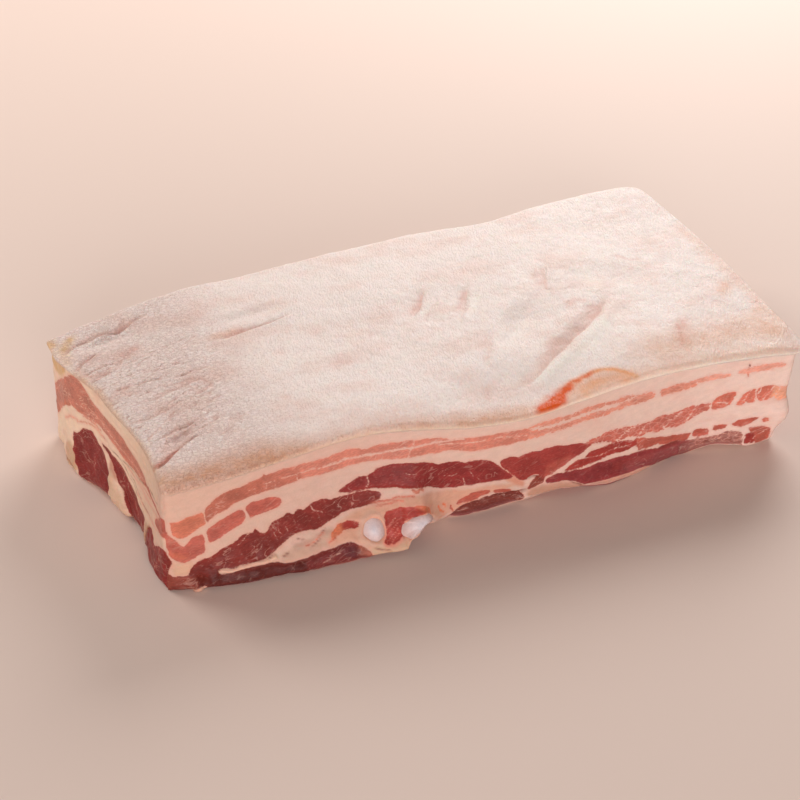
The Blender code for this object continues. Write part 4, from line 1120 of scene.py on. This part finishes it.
# ------------------------------------------------------------------ rib cartilages
def front_at(x, z):
    """The y of the front cut at places given by x and height."""
    u = (x - MIDDLE_X) / HALF_LENGTH
    w = np.clip(z / EDGE_HEIGHT, 0, 1)
    for _ in range(SEARCH_STEPS):
        found_x, found_y, found_z = form(u, np.full(u.shape, -1.0), w)
        u = u + 0.8 * (x - found_x) / HALF_LENGTH
        w = np.clip(w + 0.6 * (z - found_z) / EDGE_HEIGHT, 0, 1)
    return found_y


def build_rib_end(name):
    """A cut rib cartilage: a low cone of facets fanned from one middle point and shaded smooth, with a
    soft rim, running back into the meat.
    """
    bm = bmesh.new()
    disc = bmesh.ops.create_circle(bm, cap_ends=True, segments=RIB_SIDES, radius=1.0)
    bmesh.ops.poke(bm, faces=disc["verts"][0].link_faces[:])
    for depth in RIB_STEPS:
        rim = [edge for edge in bm.edges if edge.is_boundary]
        for vert in new_verts(bmesh.ops.extrude_edge_only(bm, edges=rim)):
            vert.co.z = -depth
    bmesh.ops.edgeloop_fill(bm, edges=[edge for edge in bm.edges if edge.is_boundary])
    obj = shell_object(name, bm)
    mesh = obj.data
    across, up, back = read_vectors(mesh, "co").T
    radius = np.hypot(across, up)

    marks = np.linspace(-1, 1, len(RIB_ENDS[name]))
    courses = [tuple(zip(marks, values)) for values in zip(*RIB_ENDS[name])]
    middle_x, middle_z, half = (through(course, across) for course in courses)
    way_x, way_z = (through(course, across + 0.02) - through(course, across - 0.02)
                    for course in courses[:2])
    length = np.hypot(way_x, way_z)
    rough = 1 + 0.02 * noise(across * 3, up * 3, seed=53) * radius
    x = middle_x - way_z / length * up * half * rough
    z = middle_z + way_x / length * up * half * rough
    inside = np.clip(radius, 0, 1)
    dome = 1 - 0.2 * inside**2 - 0.8 * inside**8
    bumps = 0.1 * layered(x / 2.6, z / 2.6, seed=51) + 0.05 * noise(x / 0.9, z / 0.9, seed=52)
    y = front_at(x, z) - RIB_STAND * dome - bumps * (radius < 0.95) - back * RIB_DEPTH
    set_down(mesh, np.stack((x, y, z), 1))
    bm = bmesh.new()
    bm.from_mesh(mesh)
    bmesh.ops.recalc_face_normals(bm, faces=bm.faces[:])
    bm.to_mesh(mesh)
    bm.free()
    keep(mesh, "rim", ease(radius, 0.8, 1.0))
    keep(mesh, "grain_way", np.stack((x, z, y), 1))
    return obj


# ------------------------------------------------------------------ materials
ROSY_FAT = (220, 166, 152)
FLUSHED_FAT = (224, 152, 134)      # fat close to lean
# painted shade in the clefts
CLEFT_SHADE_TINT = (124, 50, 38)
PINK_SKIN = (230, 182, 164)
# painted shade in the skin's creases
CREASE_SHADE_TINT = (178, 126, 112)
PORE_TINT = (190, 132, 112)
GRISTLE_TINTS = ((208, 194, 198), (224, 210, 212))
GRISTLE_RIM = (232, 184, 168)
# Bump depth in metres; subsurface weight, radius and scale; and specular level
MEAT_FINISH = (0.0003, 0.3, (1.0, 0.35, 0.22), 0.003, 0.08)
SKIN_FINISH = (0.0007, 0.3, (1.0, 0.45, 0.3), 0.0015, 0.15)
GRISTLE_FINISH = (0.0003, 0.4, (1.0, 0.75, 0.7), 0.002, 0.1)


class Nodes:
    """A shader's nodes, laid one after the other. Each call gives back what its node puts out."""

    def __init__(self, tree):
        self.tree = tree

    def feed(self, socket, value):
        """Links another node's output, or sets a plain value."""
        if isinstance(value, bpy.types.NodeSocket):
            self.tree.links.new(value, socket)
        else:
            socket.default_value = value

    def put(self, kind, inputs, **settings):
        """Adds a node: its settings first, then what goes into it."""
        node = self.tree.nodes.new(kind)
        for key, value in settings.items():
            setattr(node, key, value)
        for key, value in inputs.items():
            self.feed(node.inputs[key], value)
        return node.outputs

    def calc(self, operation, first, second=0.0, clamp=False):
        return self.put("ShaderNodeMath", {0: first, 1: second}, operation=operation,
                        use_clamp=clamp)[0]

    def plus(self, *values, clamp=False):
        return self.chain("ADD", values, clamp)

    def minus(self, first, second, clamp=False):
        return self.calc("SUBTRACT", first, second, clamp)

    def times(self, *values, clamp=False):
        return self.chain("MULTIPLY", values, clamp)

    def chain(self, operation, values, clamp):
        """Adds or multiplies several values; only the end result is held from 0 to 1."""
        total = values[0]
        for value in values[1:-1]:
            total = self.calc(operation, total, value)
        return self.calc(operation, total, values[-1], clamp)

    def scale_to(self, value, low, high, new_low=0.0, new_high=1.0):
        """Smoothly turns a range of a value into another range."""
        return self.put("ShaderNodeMapRange",
                        {0: value, 1: low, 2: high, 3: new_low, 4: new_high},
                        interpolation_type="SMOOTHSTEP")[0]

    def vector(self, operation, first, second):
        """Vector sums; "SCALE" takes its number in the fourth socket."""
        return self.put("ShaderNodeVectorMath", {0: first, 3 if operation == "SCALE" else 1: second},
                        operation=operation)[0]

    def blend(self, share, first, second):
        """From the first colour to the second; plain ones are given from 0 to 255."""
        first, second = ((*linear(*colour), 1.0) if isinstance(colour, tuple) else colour
                         for colour in (first, second))
        return self.put("ShaderNodeMix", {0: share, 6: first, 7: second}, data_type="RGBA")[2]

    def attribute(self, name, output="Fac"):
        return self.put("ShaderNodeAttribute", {}, attribute_name=name)[output]

    def mapped(self, place, turn=0.0, scale=(1, 1, 1)):
        """Turns a pattern against the grain and sets how fine it is."""
        return self.put("ShaderNodeMapping", {"Vector": place, "Scale": scale,
                                              "Rotation": (0, 0, math.radians(-turn))})[0]

    def texture(self, place, size, stretch=1.0, turn=0.0, detail=2.0, distortion=0.0):
        """Noise from 0 to 1 with features of about that size in millimetres."""
        scale = (1 / (size * stretch), 1 / size, 1 / size)
        return self.put("ShaderNodeTexNoise",
                        {"Vector": self.mapped(self.mapped(place, turn), scale=scale),
                         "Scale": 1.0, "Detail": detail, "Roughness": 0.55,
                         "Distortion": distortion})[0]

    def cells(self, place, feature, randomness=1.0):
        return self.put("ShaderNodeTexVoronoi",
                        {"Vector": place, "Scale": 1.0, "Randomness": randomness},
                        feature=feature)["Distance"]

    def cell_walls(self, place, turn, scale, bend_size, bend):
        """Distance from the walls of cells that are bent out of true."""
        laid = self.mapped(place, turn, scale)
        noises = self.put("ShaderNodeTexNoise", {"Vector": self.mapped(place, 0, (1 / bend_size,) * 3),
                                                 "Scale": 1.0, "Detail": 1.0})["Color"]
        shift = self.vector("SCALE", self.vector("SUBTRACT", noises, (0.5, 0.5, 0.5)), bend)
        return self.cells(self.vector("ADD", laid, shift), "DISTANCE_TO_EDGE")

    def damp(self, group, place, size, wetness):
        """The shared damp grain, with its own size and wetness."""
        return self.put("ShaderNodeGroup", {"Place": place, "Size": size, "Wetness": wetness},
                        node_tree=group)


def make_damp_grain():
    """A group for damp tissue: fine mottling, its relief, and how wet each spot is."""
    group = bpy.data.node_groups.new("damp_grain", "ShaderNodeTree")
    group.interface.new_socket("Place", in_out="INPUT", socket_type="NodeSocketVector")
    for name, value in (("Size", 1.0), ("Wetness", 0.5)):
        socket = group.interface.new_socket(name, in_out="INPUT", socket_type="NodeSocketFloat")
        socket.default_value = value
    for name in ("Mottle", "Height", "Roughness"):
        group.interface.new_socket(name, in_out="OUTPUT", socket_type="NodeSocketFloat")
    start = group.nodes.new("NodeGroupInput").outputs
    finish = group.nodes.new("NodeGroupOutput").inputs
    nodes = Nodes(group)
    sized = nodes.vector("SCALE", start["Place"], nodes.calc("DIVIDE", 1.0, start["Size"]))
    fine = nodes.texture(sized, 0.8, detail=3)
    broad = nodes.texture(sized, 5.0, detail=2, distortion=0.6)
    film = nodes.texture(sized, 2.4, detail=1)
    dry = nodes.minus(0.62, nodes.times(start["Wetness"], 0.4))
    uneven = nodes.times(nodes.minus(broad, 0.5), 0.35)
    nodes.feed(finish["Mottle"], nodes.plus(nodes.times(fine, 0.6), nodes.times(broad, 0.4)))
    nodes.feed(finish["Height"], nodes.plus(nodes.times(fine, 0.35), nodes.times(film, 0.65)))
    nodes.feed(finish["Roughness"], nodes.plus(dry, uneven))
    return group


def new_material(name):
    """A material, its nodes and the inputs of its shader."""
    material = bpy.data.materials.new(name)
    material.use_nodes = True
    shader = material.node_tree.nodes["Principled BSDF"]
    return material, Nodes(material.node_tree), shader.inputs


def finish_flesh(nodes, shader, tint, roughness, height, settings):
    """Feeds a shader with its looks and with one of the finishes above."""
    depth, weight, radius, scale, shine = settings
    normal = nodes.put("ShaderNodeBump", {"Height": height, "Distance": depth, "Strength": 1.0})[0]
    values = {"Base Color": tint, "Roughness": roughness, "Normal": normal,
              "Subsurface Weight": weight, "Subsurface Radius": radius, "Subsurface Scale": scale,
              "Specular IOR Level": shine}
    for name, value in values.items():
        nodes.feed(shader[name], value)


def make_meat(group):
    """Lean and fat by the fields kept on the mesh, with ragged borders, veins and flecks."""
    material, nodes, shader = new_material("cut_meat_and_fat")
    place = nodes.attribute("grain_way", "Vector")
    lean, broken, marble, cleft_shade = (nodes.attribute(name)
                                   for name in ("lean", "broken", "marble", "cleft_shade"))
    grain = nodes.damp(group, place, 1.0, 0.6)

    # the border between lean and fat, torn and broken into clumps
    ragged = nodes.minus(nodes.texture(place, 0.9, 1.6, detail=3), 0.5)
    clumps = nodes.minus(nodes.texture(place, 2.2, 1.7, turn=18, detail=3), 0.5)
    walls = nodes.cell_walls(place, 14, (0.19, 0.4, 0.4), 2.6, 0.9)
    seam = nodes.scale_to(walls, 0.0, 0.13, 1.0, 0.0)
    edge = nodes.plus(lean, 0.25, nodes.times(ragged, 1.1))
    loose = nodes.minus(nodes.times(clumps, 3.0), seam)
    edge = nodes.plus(edge, nodes.times(loose, broken))
    gaps = nodes.times(seam, nodes.minus(broken, 0.3, clamp=True))
    inside = nodes.scale_to(edge, -0.3, 0.4)
    mask = nodes.times(inside, nodes.minus(1.0, nodes.plus(gaps, nodes.times(broken, 0.1))))

    # fat inside the lean
    wander = nodes.texture(place, 5.0, 2.4, turn=16, detail=2, distortion=0.8)
    vein = nodes.scale_to(nodes.calc("ABSOLUTE", nodes.minus(wander, 0.5)), 0.0, 0.03, 1.0, 0.0)
    where = nodes.scale_to(nodes.texture(place, 9.0, 2.0, detail=1), 0.46, 0.6)
    veins = nodes.times(vein, where, marble, clamp=True)
    flecks = nodes.scale_to(nodes.texture(place, 0.8, 2.4, turn=14, detail=1), 0.58, 0.74)
    flecks = nodes.times(flecks, nodes.times(marble, 0.4))
    mask = nodes.times(mask, nodes.minus(1.0, nodes.calc("MAXIMUM", veins, flecks)))

    # the lean's colour
    fibre = nodes.texture(place, 0.7, 3, turn=12, detail=2)
    broad = nodes.texture(place, 7.0, 1.6, detail=3)
    shade = nodes.times(nodes.scale_to(fibre, 0.3, 0.7, 0.88, 1.1),
                        nodes.scale_to(broad, 0.35, 0.65, 0.88, 1.1),
                        nodes.scale_to(lean, 0.2, 3.0, 1.1, 0.97))
    lean_tint = nodes.vector("SCALE", nodes.attribute("lean_tint", "Color"), shade)

    # the fat's colour, flushed near the lean
    streaks = nodes.texture(place, 2.4, 3.5, turn=10, detail=3)
    shade = nodes.times(nodes.scale_to(grain["Mottle"], 0.3, 0.7, 0.95, 1.04),
                        nodes.scale_to(streaks, 0.32, 0.68, 0.975, 1.025))
    fat_tint = nodes.vector("SCALE", nodes.attribute("fat_tint", "Color"), shade)
    rosy = nodes.scale_to(nodes.texture(place, 9.0, 2.4, detail=3), 0.48, 0.72, 0.0, 0.3)
    fat_tint = nodes.blend(rosy, fat_tint, ROSY_FAT)
    loosened = nodes.times(broken, gaps, inside)
    flush = nodes.plus(nodes.scale_to(edge, -1.8, 0.0, 0.0, 0.3), nodes.times(loosened, 1.4),
                       clamp=True)
    fat_tint = nodes.blend(flush, fat_tint, FLUSHED_FAT)
    tint = nodes.blend(mask, fat_tint, lean_tint)
    # painted shade: the clefts are darkened
    tint = nodes.blend(nodes.times(cleft_shade, 0.7, clamp=True), tint, CLEFT_SHADE_TINT)

    height = nodes.plus(nodes.times(grain["Height"], 0.5), nodes.times(fibre, mask, 0.5))
    height = nodes.minus(height, nodes.times(mask, 0.35))
    roughness = nodes.plus(grain["Roughness"], nodes.times(mask, -0.02))
    finish_flesh(nodes, shader, tint, roughness, height, MEAT_FINISH)
    return material


def make_skin(group):
    """Pale rind: fine dashes of grain, finer folds at the left, pores and pink patches."""
    material, nodes, shader = new_material("pork_rind")
    place = nodes.attribute("grain_way", "Vector")
    wrinkled, dotted = nodes.attribute("wrinkled"), nodes.attribute("dotted")
    grain = nodes.damp(group, place, 1.4, 0.35)

    holes = nodes.mapped(nodes.mapped(place, 72), scale=(1 / 1.9, 1 / 1.25, 0.5))
    pore = nodes.scale_to(nodes.cells(holes, "F1", 0.85), 0.12, 0.5, 1.0, 0.0)
    patchy = nodes.scale_to(nodes.texture(place, 4.0, detail=3), 0.38, 0.62, 0.4, 1.0)
    pore = nodes.times(pore, patchy, dotted)
    folds = nodes.scale_to(nodes.cell_walls(place, 24, (0.3, 0.42, 0.3), 1.4, 1.0), 0.0, 0.2)
    dash = nodes.texture(place, 1.0, 2.6, turn=72, detail=2)
    fine = nodes.put("ShaderNodeMix", {0: nodes.times(wrinkled, 0.6), 2: dash, 3: folds})[0]

    shade = nodes.times(nodes.scale_to(dash, 0.3, 0.7, 0.95, 1.03),
                        nodes.scale_to(grain["Mottle"], 0.3, 0.7, 0.97, 1.02))
    tint = nodes.vector("SCALE", nodes.attribute("skin_tint", "Color"), shade)
    pink = nodes.scale_to(nodes.texture(place, 20.0, 1.6, detail=3), 0.45, 0.7, 0.0, 0.3)
    tint = nodes.blend(nodes.plus(pink, nodes.times(wrinkled, 0.1)), tint, PINK_SKIN)
    # painted shade in the fine creases of the left part
    crease_shade = nodes.times(nodes.minus(1.0, folds), wrinkled)
    tint = nodes.blend(nodes.times(crease_shade, 0.26), tint, CREASE_SHADE_TINT)
    tint = nodes.blend(nodes.times(pore, 0.45, clamp=True), tint, PORE_TINT)

    height = nodes.plus(nodes.times(fine, 0.7), nodes.times(grain["Height"], 0.4))
    height = nodes.minus(height, nodes.times(pore, 0.12))
    finish_flesh(nodes, shader, tint, grain["Roughness"], height, SKIN_FINISH)
    return material


def make_cartilage(group):
    """Bluish white gristle, pink at its rim."""
    material, nodes, shader = new_material("cartilage")
    grain = nodes.damp(group, nodes.attribute("grain_way", "Vector"), 0.9, 0.9)
    white = nodes.blend(nodes.scale_to(grain["Mottle"], 0.35, 0.65), *GRISTLE_TINTS)
    tint = nodes.blend(nodes.times(nodes.attribute("rim"), 0.6), white, GRISTLE_RIM)
    finish_flesh(nodes, shader, tint, grain["Roughness"], grain["Height"], GRISTLE_FINISH)
    return material


# ------------------------------------------------------------------ floor, light and camera
# Lights: place and what they aim at in metres, size, power and colour
LIGHTS = {
    "right_window": ((0.95, 1.25, 0.75), (0.05, 0.05, 0.0), 1.0, 23, (1.0, 0.98, 0.96)),
    "left_window": ((-1.0, 1.3, 1.0), (0.0, 0.0, 0.03), 1.0, 17, (1.0, 0.98, 0.95)),
    "front_fill": ((-0.6, -2.2, 0.5), (0.0, 0.0, 0.03), 1.5, 44, (1.0, 1.0, 1.0)),
}
ROOM_COLOUR = (1.0, 0.94, 0.9)
ROOM_STRENGTH = 0.18
FLOOR_TINT = (230, 205, 192)
FLOOR_HALF = 4.0
FLOOR_GAP = 0.0004                 # keeps the floor just under the meat
CAMERA_PLACE = (-0.44697, -1.05932, 0.76643)   # from the drawing frame's middle
CAMERA_TILT = 57.0                 # degrees up from straight down
CAMERA_TURN = -22.415
LENS = 108
SENSOR = 36


def make_floor():
    bm = bmesh.new()
    bmesh.ops.create_grid(bm, x_segments=1, y_segments=1, size=FLOOR_HALF)
    floor = shell_object("floor", bm)
    floor.data.transform(Matrix.Translation((0, 0, -FLOOR_GAP)))
    material, nodes, shader = new_material("pale_floor")
    nodes.feed(shader["Base Color"], (*linear(*FLOOR_TINT), 1))
    nodes.feed(shader["Roughness"], 0.7)
    floor.data.materials.append(material)


def add_area(name, place, aim, size, power, colour):
    light = bpy.data.lights.new(name, "AREA")
    light.shape = "DISK"
    light.size = size
    light.energy = power
    light.color = colour
    lamp = bpy.data.objects.new(name, light)
    lamp.location = place
    lamp.rotation_euler = (Vector(aim) - Vector(place)).to_track_quat("-Z", "Y").to_euler()
    bpy.context.scene.collection.objects.link(lamp)


def add_camera():
    camera = bpy.data.cameras.new("camera")
    camera.lens = LENS
    camera.sensor_width = SENSOR
    holder = bpy.data.objects.new("camera", camera)
    x, y, z = CAMERA_PLACE
    holder.location = (x - CENTRE[0] * MM, y - CENTRE[1] * MM, z)
    holder.rotation_euler = Euler((math.radians(CAMERA_TILT), 0, math.radians(CAMERA_TURN)))
    bpy.context.scene.collection.objects.link(holder)
    bpy.context.scene.camera = holder


def set_stage():
    make_floor()
    for name, settings in LIGHTS.items():
        add_area(name, *settings)
    world = bpy.data.worlds.new("soft_room")
    world.use_nodes = True
    background = world.node_tree.nodes["Background"]
    background.inputs["Color"].default_value = (*ROOM_COLOUR, 1)
    background.inputs["Strength"].default_value = ROOM_STRENGTH
    bpy.context.scene.world = world
    bpy.context.scene.view_settings.view_transform = "Standard"
    add_camera()


def main():
    grain = make_damp_grain()
    meat = build_meat()
    meat.data.materials.append(make_meat(grain))
    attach(meat, "root")
    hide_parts("pork_belly")

    rind = build_rind()
    rind.data.materials.append(make_skin(grain))
    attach(rind, "root")

    cartilage = make_cartilage(grain)
    for number, name in enumerate(RIB_ENDS, start=1):
        end = build_rib_end(name)
        end.data.materials.append(cartilage)
        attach(end, "root")
        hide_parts(f"rib_cartilage_{number}")

    set_stage()


main()
